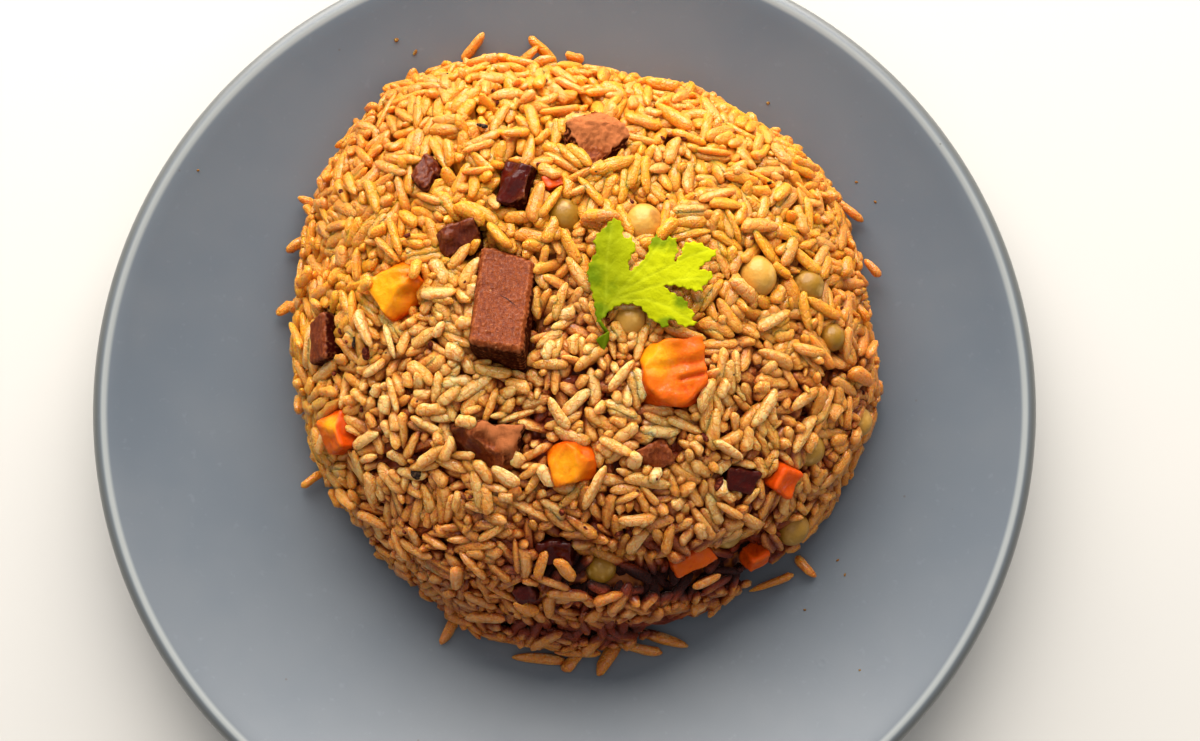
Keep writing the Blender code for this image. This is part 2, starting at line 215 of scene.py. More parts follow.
def noiseAt(points, size, shift=0.0):    # one value from -1 to 1 for each point
    offset = Vector((shift, shift * 1.7, shift * 0.6))
    return np.array([noise.noise(Vector(p) / size + offset) for p in points])


def fade(away, reach):    # 1 in the middle, next to nothing beyond twice the reach
    return np.exp(-(away / reach) ** 2)


def fromLine(points, first, last):    # how far points of a plan lie from a straight line with two ends
    way = np.subtract(last, first)
    along = np.clip((points - first) @ way / (way @ way), 0, 1)
    return np.hypot(*(points - first - along[:, None] * way).T)


def runOf(line):    # the length of a line up to each of its points
    return np.append(0, np.cumsum(np.hypot(*np.diff(line, axis=0).T)))


def ringFaces(rings, count):    # quads between closed rings, wound so that the last ring is inside
    faces = []
    for start in range(0, (rings - 1) * count, count):
        for i in range(count):
            j = (i + 1) % count
            faces.append((start + i, start + j, start + count + j, start + count + i))
    return faces


def put(mesh, name, values, kind="FLOAT"):    # one value, or three, for each point
    layer = mesh.attributes.new(name, kind, "POINT")
    values = np.asarray(values, np.int32 if kind == "INT" else np.float32)
    layer.data.foreach_set("vector" if kind == "FLOAT_VECTOR" else "value", values.ravel())


def rework(mesh, change):    # one change made by bmesh
    body = bmesh.new()
    body.from_mesh(mesh)
    change(body)
    body.to_mesh(mesh)
    body.free()


def faceOut(body):
    bmesh.ops.recalc_face_normals(body, faces=body.faces[:])


def evaluated(thing):    # the mesh that its modifiers make
    depsgraph = bpy.context.evaluated_depsgraph_get()
    return bpy.data.meshes.new_from_object(thing.evaluated_get(depsgraph), depsgraph=depsgraph)


def endFaces(rings, count, low, high):    # triangles from the first and last ring to a point at each end
    last = (rings - 1) * count
    faces = [((i + 1) % count, i, low) for i in range(count)]
    return faces + [(last + i, last + (i + 1) % count, high) for i in range(count)]


class Growth:    # one Geometry Nodes tree, and plain meshes of what it makes
    def __init__(self, name, inputs):
        self.tree = bpy.data.node_groups.new(name, "GeometryNodeTree")
        self.ids = {}
        for label, kind in {"Geometry": "Geometry", **inputs}.items():
            socket = self.tree.interface.new_socket(label, in_out="INPUT", socket_type="NodeSocket" + kind)
            self.ids[label] = socket.identifier
        self.tree.interface.new_socket("Geometry", in_out="OUTPUT", socket_type="NodeSocketGeometry")
        self.source = self.tree.nodes.new("NodeGroupInput")
        self.sink = self.tree.nodes.new("NodeGroupOutput")

    def input(self, label):
        return self.source.outputs[label]

    def add(self, kind, settings=None, out=0, **inputs):
        return newNode(self.tree, kind, settings, inputs).outputs[out]

    def maths(self, operation, *values):
        return self.add("ShaderNodeMath", {"operation": operation}, **numbered(values))

    def named(self, name, kind="FLOAT_VECTOR"):
        return self.add("GeometryNodeInputNamedAttribute", {"data_type": kind}, "Attribute", Name=name)

    def end(self, shape, finish):
        shape = self.add("GeometryNodeRealizeInstances", Geometry=shape)
        shape = self.add("GeometryNodeSetMaterial", Geometry=shape, Material=finish)
        self.tree.links.new(shape, self.sink.inputs[0])

    def run(self, base, name, **values):
        modifier = base.modifiers.new("grow", "NODES")
        modifier.node_group = self.tree
        for label, value in values.items():
            modifier[self.ids[label]] = value
        scene.collection.objects.link(base)
        mesh = evaluated(base)
        mesh.name = name
        bpy.data.objects.remove(base)
        return bpy.data.objects.new(name, mesh)


# camera: a steep view from the near side, framed as the photograph is
view = {"imageWidth": 1200, "focalPixels": 2700, "tilt": 6.0, "distance": 600, "target": (7.9, 7.3, 22)}


def makeCamera():
    lens = bpy.data.cameras.new("camera")
    lens.sensor_width = 36
    lens.lens = view["focalPixels"] * lens.sensor_width / view["imageWidth"]
    camera = bpy.data.objects.new("camera", lens)
    tilt = math.radians(view["tilt"])
    back = Vector((0, -math.sin(tilt), math.cos(tilt)))
    camera.location = (Vector(view["target"]) + view["distance"] * back) * mm
    camera.rotation_euler = (tilt, 0, 0)
    scene.collection.objects.link(camera)
    scene.camera = camera


# light: a soft window behind the plate and a weak fill, on a plain pale floor
studio = {
    "key": {"from": (-50, 790, 455), "size": 1300, "power": 29.5, "colour": (1.0, 0.97, 0.93)},
    "fill": {"from": (60, -300, 1000), "size": 900, "power": 1.2, "colour": (0.95, 0.97, 1.0)},
    "sky": (0.93, 0.96, 1.0, 1), "skyStrength": 0.35,
    "floorReach": 2500, "floor": rgb(206, 202, 196), "floorCloud": rgb(214, 209, 200), "cloudSize": 160,
}


def makeStudio():
    for name in ("key", "fill"):
        row = studio[name]
        lamp = bpy.data.lights.new(name, "AREA")
        lamp.shape = "DISK"
        lamp.size = row["size"] * mm
        lamp.energy = row["power"]
        lamp.color = row["colour"]
        holder = bpy.data.objects.new(name, lamp)
        holder.location = Vector(row["from"]) * mm
        holder.rotation_euler = (-Vector(row["from"])).to_track_quat("-Z", "Y").to_euler()
        scene.collection.objects.link(holder)
    world = bpy.data.worlds.new("studio")
    world.use_nodes = True
    sky = world.node_tree.nodes["Background"]
    sky.inputs["Color"].default_value = studio["sky"]
    sky.inputs["Strength"].default_value = studio["skyStrength"]
    scene.world = world
    scene.view_settings.view_transform = "Standard"
    far = studio["floorReach"]
    corners = [(-far, -far, 0), (far, -far, 0), (far, far, 0), (-far, far, 0)]
    floor = meshFrom("floor", corners, [(0, 1, 2, 3)])
    f = Finish("paleFloor", Roughness=0.7)
    cloud = f.noise(studio["cloudSize"], 3, 0.6)
    floor.data.materials.append(f.give(Base_Color=f.paint(studio["floor"], (studio["floorCloud"], cloud))))
    scene.collection.objects.link(floor)


makeCamera()
makeStudio()
print("camera and light set")


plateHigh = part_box("plate")[1] / mm
plate = {
    "radius": plateHigh.x, "height": plateHigh.z, "wall": 4.4, "floor": 5.0, "power": 2.8, "lipDrop": 0.6,
    "topSteps": 40, "topSpread": 0.8, "lipTurn": (107.5, -50.0), "lipSteps": 16,
    "under": 4.6, "underReach": (0.935, 0.64), "underSteps": 14,
    "foot": 62.0, "footWidth": 5.0, "recess": 2.0, "beneath": (54.8, 30.0, 8.0, 0.0),
    # off the foot ring's side, height
    "footOuter": ((0.9, 2.1), (0.0, 1.2), (-0.2, 0.5), (-0.7, 0.12), (-1.3, 0.0)),
    "footInner": ((0.8, 0.0), (0.2, 0.2), (-0.3, 0.9), (-1.0, 1.7)),
    "turns": 288, "sway": 0.12, "swayFrom": 0.7, "swayPower": 8, "weld": 0.01, "dimple": (57.3, -57.3),
    "lipBand": (2.4, 0.9), "crestHighlightBand": (3.8, 2.9, 2.5, 1.7), "bareBand": (50, 56, 63, 64),
    "glaze": rgb(94, 101, 108), "glazeCool": rgb(86, 95, 104), "milky": rgb(116, 123, 130),
    "lip": rgb(88, 88, 82), "crest": rgb(176, 178, 172), "clay": rgb(186, 172, 150),
    "fleck": rgb(74, 66, 58),
}


def dishLevel(radius):    # the eating surface, above the table
    edge = plate["radius"] - plate["wall"]
    rise = plate["height"] - plate["lipDrop"] - plate["floor"]
    return plate["floor"] + rise * (np.minimum(radius, edge) / edge) ** plate["power"]


def plateSection():    # from the middle of the top, over the lip, to the middle beneath
    edge, lip = plate["radius"] - plate["wall"], plate["wall"] / 2
    shares = np.linspace(0, 1, plate["topSteps"] + 1) ** plate["topSpread"]
    top = [(r, dishLevel(r)) for r in edge * shares]
    turns = np.radians(np.linspace(*plate["lipTurn"], plate["lipSteps"]))
    x, y = plate["radius"] - lip, plate["height"] - lip
    over = [(x + lip * math.cos(t), y + lip * math.sin(t)) for t in turns]
    radii = plate["radius"] * np.linspace(*plate["underReach"], plate["underSteps"])
    under = [(r, dishLevel(r) - plate["under"]) for r in radii]
    ring = [(plate["foot"] + r, z) for r, z in plate["footOuter"]]
    ring += [(plate["foot"] - plate["footWidth"] + r, z) for r, z in plate["footInner"]]
    return top + over + under + ring + [(r, plate["recess"]) for r in plate["beneath"]]


def turnPlate():    # a grid of points: its columns are turned round the axis, its rows follow the section
    g = Growth("turning", {"Rings": "Int", "Turns": "Int", "Sway": "Float", "Glaze": "Material"})
    turns, rings = g.input("Turns"), g.input("Rings")
    sheet = g.add("GeometryNodeMeshGrid", None, "Mesh", Size_X=1.0, Size_Y=1.0,
                  Vertices_X=turns, Vertices_Y=rings)
    index = g.add("GeometryNodeInputIndex")
    ring = g.maths("MODULO", index, rings)
    column = g.maths("FLOOR", g.maths("DIVIDE", index, rings))
    angle = g.maths("MULTIPLY", g.maths("DIVIDE", column, g.maths("SUBTRACT", turns, 1)), 2 * math.pi)
    spot = g.add("GeometryNodeSampleIndex", {"data_type": "FLOAT_VECTOR", "domain": "POINT"}, 0,
                 Geometry=g.input("Geometry"), Value=g.add("GeometryNodeInputPosition"), Index=ring)
    radius, _, height = newNode(g.tree, "ShaderNodeSeparateXYZ", None, {"Vector": spot}).outputs
    wave = g.maths("SINE", g.maths("ADD", g.maths("MULTIPLY", angle, 2), plate["swayFrom"]))
    reach = g.maths("POWER", g.maths("DIVIDE", radius, plate["radius"] * mm), plate["swayPower"])
    lift = g.maths("MULTIPLY", g.maths("MULTIPLY", wave, reach), g.input("Sway"))
    place = g.add("ShaderNodeCombineXYZ", None, 0, X=g.maths("MULTIPLY", radius, g.maths("COSINE", angle)),
                  Y=g.maths("MULTIPLY", radius, g.maths("SINE", angle)), Z=g.maths("ADD", height, lift))
    shape = g.add("GeometryNodeSetPosition", Geometry=sheet, Position=place)
    shape = g.add("GeometryNodeMergeByDistance", Geometry=shape, Distance=plate["weld"] * mm)
    g.end(shape, g.input("Glaze"))
    section = plateSection()
    base = meshFrom("section", [(r, 0, z) for r, z in section], [])
    glaze = glazeFinish()
    dish = g.run(base, "dish", Rings=len(section), Turns=plate["turns"] + 1, Sway=plate["sway"] * mm,
                 Glaze=glaze)
    rework(dish.data, faceOut)
    settle(dish, glaze, ["plate"])


def glazeFinish():
    f = Finish("satinGlaze", IOR=1.6, Coat_Roughness=0.34)
    x, y, z = f.axes()
    fromAxis = (x * x + y * y) ** 0.5
    fromRim = [plate["radius"] - depth for depth in plate["lipBand"] + plate["crestHighlightBand"]]
    lip = fromAxis.ramp(*fromRim[:2])
    crest = fromAxis.ramp(*fromRim[2:4]) * (1 - fromAxis.ramp(*fromRim[4:]))
    bare = fromAxis.ramp(*plate["bareBand"][:2]) * (1 - fromAxis.ramp(*plate["bareBand"][2:]))
    bare = bare * (1 - z.ramp(0.2, 1.0))
    colour = f.paint(plate["glaze"],
                     (plate["glazeCool"], f.noise(36, 3, 0.6).ramp(0.35, 0.7)),
                     (plate["milky"], f.noise(2.4, 2, 0.6).ramp(0.62, 0.8) * 0.25),
                     (plate["lip"], lip * 0.8),    # darker over the lip
                     # painted highlight: a pale line along the crest of the lip
                     (plate["crest"], crest * 0.6),
                     (plate["fleck"], f.specks(6, 0.03, 0.06, 17, 0.58, 0.64) * 0.7),
                     (plate["clay"], bare))    # the foot is left without glaze
    dx, dy = x - plate["dimple"][0], y - plate["dimple"][1]
    fromDimple = (dx * dx + dy * dy) ** 0.5
    pit = fromDimple.ramp(0.1, 0.9) - fromDimple.ramp(0.9, 1.6) * 0.4
    height = f.noise(1.1, 2, 0.6) * 0.25 + f.noise(11, 2) * 0.8 + pit * 0.8
    return f.give(Base_Color=colour, Roughness=0.4 + f.noise(3.3, 2) * 0.1 + bare * 0.3,
                  Coat_Weight=(1.0 - bare) * 0.75, Normal=f.bump(height, 0.35, 0.12))


turnPlate()
print("plate turned and glazed")


# the dome that the bowl left: round, with a wavy foot, lumps and a crack low on the near side
heap = {
    "place": np.array([3.4, 13.1]), "radius": 66.2, "top": 58.0, "hem": 1.2, "power": 2.3,
    "waves": ((2, 1.65, -46), (3, 2.1, 13), (4, 0.75, 40), (5, 0.8, -19)),    # crests, height, azimuth
    "lump": 0.9, "lumpLength": 13.0,
    "cracks": (    # azimuths, distances of the ends from the middle, half width, depth
        ((-104, -40), (48.0, 63.0), 5.0, 5.5),
        ((-112, -62), (63.5, 65.0), 2.6, 2.6),
    ),
    "crackSlope": 5,    # how fast a crack deepens from its ends
    "table": (180, 61), "refine": 3, "slopeStep": 0.1, "above": 120.0,
}


def outlineRadius(azimuth):
    waves = 0.0
    for crests, height, crest in heap["waves"]:
        waves = waves + height * np.cos(crests * (azimuth - math.radians(crest)))
    return heap["radius"] + waves


def inPlan(azimuth, radius):    # a place round the dome's middle
    return heap["place"][0] + radius * np.cos(azimuth), heap["place"][1] + radius * np.sin(azimuth)


def footLevel(azimuth):
    return dishLevel(np.hypot(*inPlan(azimuth, outlineRadius(azimuth)))) + heap["hem"]


def domeTerms(points):    # azimuth, and the point's share of the dome's radius and height there
    offset = points[:, :2] - heap["place"]
    azimuth = np.arctan2(offset[:, 1], offset[:, 0])
    foot = footLevel(azimuth)
    out = np.hypot(offset[:, 0], offset[:, 1]) / outlineRadius(azimuth)
    return azimuth, out, np.clip(points[:, 2] - foot, 0, None) / (heap["top"] - foot)


def crackDepth(azimuth, radius):
    depth = 0.0
    for azimuths, radii, halfWidth, deepest in heap["cracks"]:
        along = (math.degrees(azimuth) - azimuths[0]) / (azimuths[1] - azimuths[0])
        across = (radius - radii[0] - (radii[1] - radii[0]) * along) / halfWidth
        if 0 < along < 1 and abs(across) < 1:
            fade = min(1, heap["crackSlope"] * along, heap["crackSlope"] * (1 - along))
            depth = max(depth, deepest * fade * math.cos(across * math.pi / 2))
    return depth


def crackAt(points):
    sides = points[:, :2] - heap["place"]
    return np.array([crackDepth(math.atan2(y, x), math.hypot(x, y)) for x, y in sides])


def unevenTable():    # how far the surface stands off the smooth dome, by azimuth and steepness
    rows, columns = heap["table"]
    table = np.zeros((rows, columns))
    n = heap["power"]
    x, y = heap["place"]
    for i in range(rows):
        azimuth = -math.pi + 2 * math.pi * i / rows
        outline, foot = float(outlineRadius(azimuth)), float(footLevel(azimuth))
        for j in range(columns):
            climb = math.pi / 2 * j / (columns - 1)
            reach = (math.cos(climb) ** n + math.sin(climb) ** n) ** (-1 / n)
            radius = outline * reach * math.cos(climb)
            height = foot + (heap["top"] - foot) * reach * math.sin(climb)
            spot = Vector((x + radius * math.cos(azimuth), y + radius * math.sin(azimuth), height))
            lump = 2 * heap["lump"] * noise.noise(spot / heap["lumpLength"])
            table[i, j] = lump - crackDepth(azimuth, radius)
    return table


heap["uneven"] = unevenTable()


def unevenness(azimuth, out, up):
    rows, columns = heap["table"]
    table = heap["uneven"]
    i = (azimuth + np.pi) / (2 * np.pi) * rows
    j = np.arctan2(up, out) / (np.pi / 2) * (columns - 1)
    i0, j0 = np.floor(i).astype(int), np.clip(np.floor(j).astype(int), 0, columns - 2)
    fi, fj = i - i0, j - j0
    a, b = i0 % rows, (i0 + 1) % rows
    low = table[a, j0] * (1 - fi) + table[b, j0] * fi
    high = table[a, j0 + 1] * (1 - fi) + table[b, j0 + 1] * fi
    return low * (1 - fj) + high * fj


def heapDistance(points):    # how far outside the uneven dome each point is, and the way out
    def field(spots):
        _, out, up = domeTerms(spots)
        return (out ** heap["power"] + up ** heap["power"]) ** (1 / heap["power"])
    base, step = field(points), heap["slopeStep"]
    slope = np.stack([(field(points + step * axis) - base) / step for axis in np.eye(3)], 1)
    size = np.linalg.norm(slope, axis=1) + 1e-9
    return (base - 1) / size - unevenness(*domeTerms(points)), slope / size[:, None]


def heapPoint(azimuth, climb, depth=0.0):    # a point of the uneven dome, or below it
    n = heap["power"]
    radius = outlineRadius(azimuth) * np.cos(climb) ** (2 / n)
    foot = footLevel(azimuth)
    height = foot + (heap["top"] - foot) * np.sin(climb) ** (2 / n)
    points = np.stack([*inPlan(azimuth, radius), height], 1)
    for _ in range(heap["refine"]):
        away, out = heapDistance(points)
        points = points - out * (away + depth)[:, None]
    return points


def domeLevel(x, y):    # height of the smooth dome over a place in plan
    points = np.stack([x, y, np.zeros_like(x)], 1)
    azimuth, out, _ = domeTerms(points)
    foot = footLevel(azimuth)
    n = heap["power"]
    return foot + (heap["top"] - foot) * np.clip(1 - np.minimum(out, 1) ** n, 0, 1) ** (1 / n)


def treeOf(objects):    # what grains and crumbs may not enter or rest on, in millimetres
    corners, faces = [], []
    for thing in objects:
        start = len(corners)
        corners += [tuple(p) for p in pointsOf(thing.data)]
        faces += [tuple(start + v for v in face.vertices) for face in thing.data.polygons]
    return bvhtree.BVHTree.FromPolygons(corners, faces)


diceNames = sorted(name for name in frame["nodes"] if name.split("_")[0] in ("meat", "carrot", "pea"))
diceNodes = [frame["nodes"][name] for name in diceNames]
diceTree = treeOf(diceNodes)
print("heap outlined")


def dropOn(tree, x, y):    # where a thing let fall at a place lands, and the way up there
    return tree.ray_cast(Vector((x, y, heap["above"])), Vector((0, 0, -1)))[:2]


# grains of cooked long rice: two layers pressed by the bowl, bits between them, and loose grains
rice = {
    "seed": 23, "counts": (2620, 2100, 420), "depths": ((0.6, 1.8), (2.3, 4.8), (1.4, 3.0)),
    "softness": 0.64, "fatness": 1.12, "whole": (8.3, 1.0, 6.2, 11.0), "broken": (3.2, 6.0),
    "brokenShare": 0.24, "bit": (2.6, 4.4), "width": (2.42, 0.26, 1.8, 3.0), "squash": 0.82,
    "lean": (0.22, 0.7), "leanMost": 1.3, "steepShare": 0.35,
    "tip": 0.8, "rodLeast": 0.8,    # a grain's rod is shorter than the grain by this share of its width
    "proud": (0.0, 0.5), "sunk": ((-1.3, 0.4), (-0.5, 0.4)), "looseShare": 0.08, "loose": (0.8, 2.0),
    "crackFrom": 2.0, "crackShare": 0.85, "leafMiddle": (17, 23), "leafReach": 17.0, "underLeaf": 0.0,
    "strayTip": 2.0, "strayTilt": 0.6, "touchReach": 0.5, "roll": 0.6, "diceSearch": 12.0,
    "insideDice": 0.25, "probes": 5,
    "stainPatches": ((0.35, 16.0, 0.0), (0.2, 6.0, 4.0)), "stainSpread": 0.22,    # strength, size, shift
    "deepest": 6.0, "crackDeep": 1.1, "offDome": 2.5,
    "sides": 7, "rings": 7, "plainSides": 6, "plainRings": 5,
}
# on the dish: x, y, lift, azimuth, slope, length, stain
strays = (
    (46.2, -39.6, 2.6, 20, 6, 10.6, 0.9), (54.0, -35.9, 1.6, -47, 0, 6.6, 0.6),
    (22.4, -52.0, 1.5, -17, 0, 11.2, 0.6), (15.5, -53.9, 1.3, -13, 0, 12.4, 0.5),
    (9.4, -56.6, 1.4, 60, 0, 8.4, 1.0), (-5.8, -56.4, 1.3, -4, 0, 12.2, 0.4),
    (1.8, -56.7, 1.3, 52, 0, 6.6, 0.6), (-9.9, -52.4, 1.8, -12, 0, 11.6, 0.5),
    (-26.2, -50.4, 1.8, 60, 10, 6.6, 0.6), (-20.9, -49.6, 2.8, -50, 20, 7.0, 0.5),
    (-56.9, -16.2, 2.6, 37, 0, 5.8, 1.0), (-6.0, -50.4, 4.2, -56, 12, 8.4, 0.6),
    (-20.8, 81.8, 1.7, 50, 4, 8.0, 1.0), (-27.5, 76.9, 1.8, 13, 6, 9.0, 1.0),
    (-9.8, 78.4, 3.4, 39, 10, 10.0, 0.9), (-5.1, 81.0, 2.4, -43, 8, 8.8, 0.3),
    (2.2, 79.6, 1.8, -16, 0, 4.4, 0.4), (-35.2, 73.6, 3.4, 62, 8, 6.6, 0.3),
    (-56.8, 45.4, 3.4, -31, -6, 8.4, 0.6), (-61.2, 36.4, 2.6, 32, 0, 4.6, 0.3),
    (-63.4, 22.3, 3.0, 40, 0, 4.6, 0.8), (63.4, 45.0, 2.8, -39, 0, 10.2, 0.8),
    (69.0, 31.0, 5.5, -50, 0, 5.0, 0.9), (-17.6, 76.2, 4.2, 70, 14, 8.2, 0.6),
)
# the same for grains that lie on a dice, a pea or the rice beside it
perched = (
    (-31.2, 25.0, 0.8, 80, 0, 4.0, 0.1), (-41.8, 23.0, 0.4, 30, 0, 3.2, 0.3),
    (-20.2, -7.0, 0.2, -10, 0, 5.2, 0.8), (8.0, 36.4, 1.0, 2, 0, 8.4, 0.2),
    (-2.4, 33.2, 0.9, 66, 0, 5.8, 0.1), (-5.6, 39.6, 0.6, 76, 0, 9.4, 0.9),
    (-18.9, 20.4, 0.3, 70, 0, 3.6, 0.2), (15.2, -15.2, 1.0, 60, 50, 4.6, 0.0),
    (-3.6, -18.4, 0.5, -60, 0, 5.0, 0.1), (38.0, 21.2, 0.7, -40, 0, 7.0, 0.3),
    (22.0, 33.6, 0.8, 50, 0, 6.6, 0.2), (-24.2, -12.6, 0.6, 60, 0, 5.6, 0.6),
    (30.2, -1.4, 0.7, 70, 0, 7.8, 0.3), (-3.0, 46.2, 0.3, -30, 0, 5.6, 0.5),
    (-12.0, -18.4, 0.6, -35, 0, 7.0, 0.4), (-16.6, -17.4, 0.5, -55, 0, 6.2, 0.5),
    (-4.6, -36.6, -0.2, 70, 0, 7.2, 1.0), (0.6, -37.6, 0.0, -50, 0, 6.6, 1.0),
    (9.6, -43.6, -0.2, 20, 0, 7.0, 1.0), (31.0, -39.8, -0.3, 25, 0, 6.8, 1.0),
    (-52.8, -9.0, 0.0, 70, 0, 6.8, 0.6), (-8.0, -45.6, 0.0, -20, 0, 6.4, 1.0),
)


def scatter(rng, count):    # azimuths and climbs spread evenly over the dome's area
    tries, margin, step = count * 8, 0.01, 0.008
    azimuth = rng.uniform(-np.pi, np.pi, tries)
    climb = rng.uniform(margin, np.pi / 2 - margin, tries)
    middle = heapPoint(azimuth, climb)
    side = heapPoint(azimuth + step, climb) - middle
    rise = heapPoint(azimuth, climb + step) - middle
    area = np.linalg.norm(np.cross(side, rise), axis=1)
    keep = rng.choice(len(area), count, replace=False, p=area / area.sum())
    return azimuth[keep], climb[keep]


def limited(rng, middle, spread, low, high, size):
    return np.clip(rng.normal(middle, spread, size), low, high)


def drawRice(rng):    # the grains before they are pressed
    layer = np.repeat([0, 1, 2], rice["counts"])
    count = len(layer)
    azimuth, climb = scatter(rng, count)
    shallow, deep = np.array(rice["depths"])[layer].T
    middle = heapPoint(azimuth, climb, rng.uniform(shallow, deep))
    _, out = heapDistance(middle)
    flat = rng.normal(size=(count, 3))
    flat -= out * (flat * out).sum(1, keepdims=True)
    flat /= np.linalg.norm(flat, axis=1, keepdims=True)
    lean = rng.normal(0, 1, count) * np.where(rng.random(count) < rice["steepShare"], *rice["lean"][::-1])
    lean = np.clip(lean, -rice["leanMost"], rice["leanMost"])[:, None]
    axis = flat * np.cos(lean) + out * np.sin(lean)
    length = np.where(rng.random(count) < rice["brokenShare"], rng.uniform(*rice["broken"], count),
                      limited(rng, *rice["whole"], count))
    length = np.where(layer == 2, rng.uniform(*rice["bit"], count), length)
    width = limited(rng, *rice["width"], count)
    proud = rng.normal(*rice["proud"], count)
    loose = rng.random(count) < rice["looseShare"]
    proud = np.where(loose, rng.uniform(*rice["loose"], count), proud)
    nearLeaf = np.hypot(*(middle[:, :2] - rice["leafMiddle"]).T) < rice["leafReach"]
    proud = np.where(nearLeaf, np.minimum(proud, rice["underLeaf"]), proud)
    proud = np.where(layer > 0, rng.normal(*np.array(rice["sunk"])[np.maximum(layer, 1) - 1].T), proud)
    half = np.maximum(length - width * rice["tip"], rice["rodLeast"]) / 2
    ends = np.stack([middle - axis * half[:, None], middle + axis * half[:, None]], 1)
    return ends, length, width, proud, layer


def openLevel(x, y):    # on the open dish
    return dishLevel(math.hypot(x, y))


def restLevel(x, y):    # on a dice, or else on the dome
    hit, _ = dropOn(diceTree, x, y)
    return max(hit.z if hit else 0, float(domeLevel(np.array([x]), np.array([y]))[0]))


def strayRods():
    ends, length = [], []
    rows = [(row, openLevel) for row in strays] + [(row, restLevel) for row in perched]
    for (x, y, lift, azimuth, slope, size, _), level in rows:
        turn, rise = math.radians(azimuth), math.radians(slope)
        axis = np.array([math.cos(turn) * math.cos(rise), math.sin(turn) * math.cos(rise), math.sin(rise)])
        rod = size - rice["strayTip"]
        levels = [level(x + side * axis[0] * rod / 2, y + side * axis[1] * rod / 2) for side in (-1, 1)]
        axis[2] += np.clip((levels[1] - levels[0]) / rod, -rice["strayTilt"], rice["strayTilt"])
        axis /= np.linalg.norm(axis)
        middle = np.array([x, y, max(sum(levels) / 2, level(x, y)) + lift])
        ends.append([middle - axis * rod / 2, middle + axis * rod / 2])
        length.append(size)
    return np.array(ends), np.array(length)


def closePairs(middle, reach, batch=400):    # rods that may meet, found a batch at a time
    first, second = [], []
    for start in range(0, len(middle), batch):
        block = slice(start, start + batch)
        gap = ((middle[block, None] - middle[None]) ** 2).sum(2)
        i, j = np.nonzero(gap < (reach[block, None] + reach[None]) ** 2)
        keep = i + start < j
        first.append(i[keep] + start)
        second.append(j[keep])
    return np.concatenate(first), np.concatenate(second)


def closest(a, b):    # shares along two sets of rods where they come nearest
    d, e, r = a[:, 1] - a[:, 0], b[:, 1] - b[:, 0], a[:, 0] - b[:, 0]
    dd, ee, de = (d * d).sum(1), (e * e).sum(1), (d * e).sum(1)
    dr, er = (d * r).sum(1), (e * r).sum(1)
    s = np.clip((de * er - dr * ee) / np.maximum(dd * ee - de * de, 1e-6), 0, 1)
    t = np.clip((de * s + er) / ee, 0, 1)
    return np.clip((de * t - dr) / dd, 0, 1), t


press = {    # how the bowl presses the grains
    "rounds": 90, "pairsEvery": 8, "pairReach": 0.4, "diceReach": 3.0, "deepInDice": 6.0,
    "diceGap": 0.65, "diceTouch": 0.01, "push": 1.5, "drawOut": 0.25, "drawMost": 0.12, "shell": 6.2,
    "coreGive": 0.5,
}


def clearOf(tree, point, radius):    # the shift that takes a point clear of the dice, or None
    hit, normal, _, away = tree.find_nearest(point, radius + press["diceTouch"])
    if hit is None:
        hit, normal, _, away = tree.find_nearest(point, press["deepInDice"])
        if hit is None or (Vector(point) - hit).dot(normal) > 0:
            return None
    if (Vector(point) - hit).dot(normal) < 0:
        return normal * (away + radius)
    return normal * (radius - away) if away < radius else None


def pushApart(ends, radius, free, first, second):
    s, t = closest(ends[first], ends[second])
    gap = ends[first, 0] + (ends[first, 1] - ends[first, 0]) * s[:, None]
    gap -= ends[second, 0] + (ends[second, 1] - ends[second, 0]) * t[:, None]
    size = np.linalg.norm(gap, axis=1) + 1e-6
    deep = radius[first] + radius[second] - size
    hit = deep > 0
    push = gap[hit] / size[hit, None] * deep[hit, None]
    i, j, s, t = first[hit], second[hit], s[hit], t[hit]
    share = free[i] / np.maximum(free[i] + free[j], 1)
    count = len(ends)
    shift, hits = np.zeros((count * 2, 3)), np.zeros(count * 2)
    for rows, weight, way in ((i * 2, 1 - s, share), (i * 2 + 1, s, share), (j * 2, 1 - t, share - 1),
                              (j * 2 + 1, t, share - 1)):
        moved = push * (weight * way)[:, None]
        for axis in range(3):
            shift[:, axis] += np.bincount(rows, weights=moved[:, axis], minlength=count * 2)
        hits += np.bincount(rows, weights=weight, minlength=count * 2)
    move = press["push"] * shift / np.maximum(hits, 1)[:, None]
    ends += move.reshape(count, 2, 3) * free[:, None, None]


def keepIn(ends, radius, proud, layer, free):    # between the bowl's wall, the core beneath and the dish
    away, out = heapDistance(ends.reshape(-1, 3))
    away, out = away.reshape(-1, 2), out.reshape(-1, 2, 3)
    over = away + (radius - proud)[:, None]
    reach = np.clip(-over.max(1) * press["drawOut"], 0, press["drawMost"]) * (layer == 0)
    move = reach[:, None] - np.maximum(over, 0)    # an outer grain reaches the wall with one end
    move += np.maximum(-press["shell"] - away, 0) * press["coreGive"]
    ends += out * (move * free[:, None])[:, :, None]
    level = dishLevel(np.hypot(ends[:, :, 0], ends[:, :, 1])) + radius[:, None]
    ends[:, :, 2] += np.maximum(level - ends[:, :, 2], 0) * free[:, None]


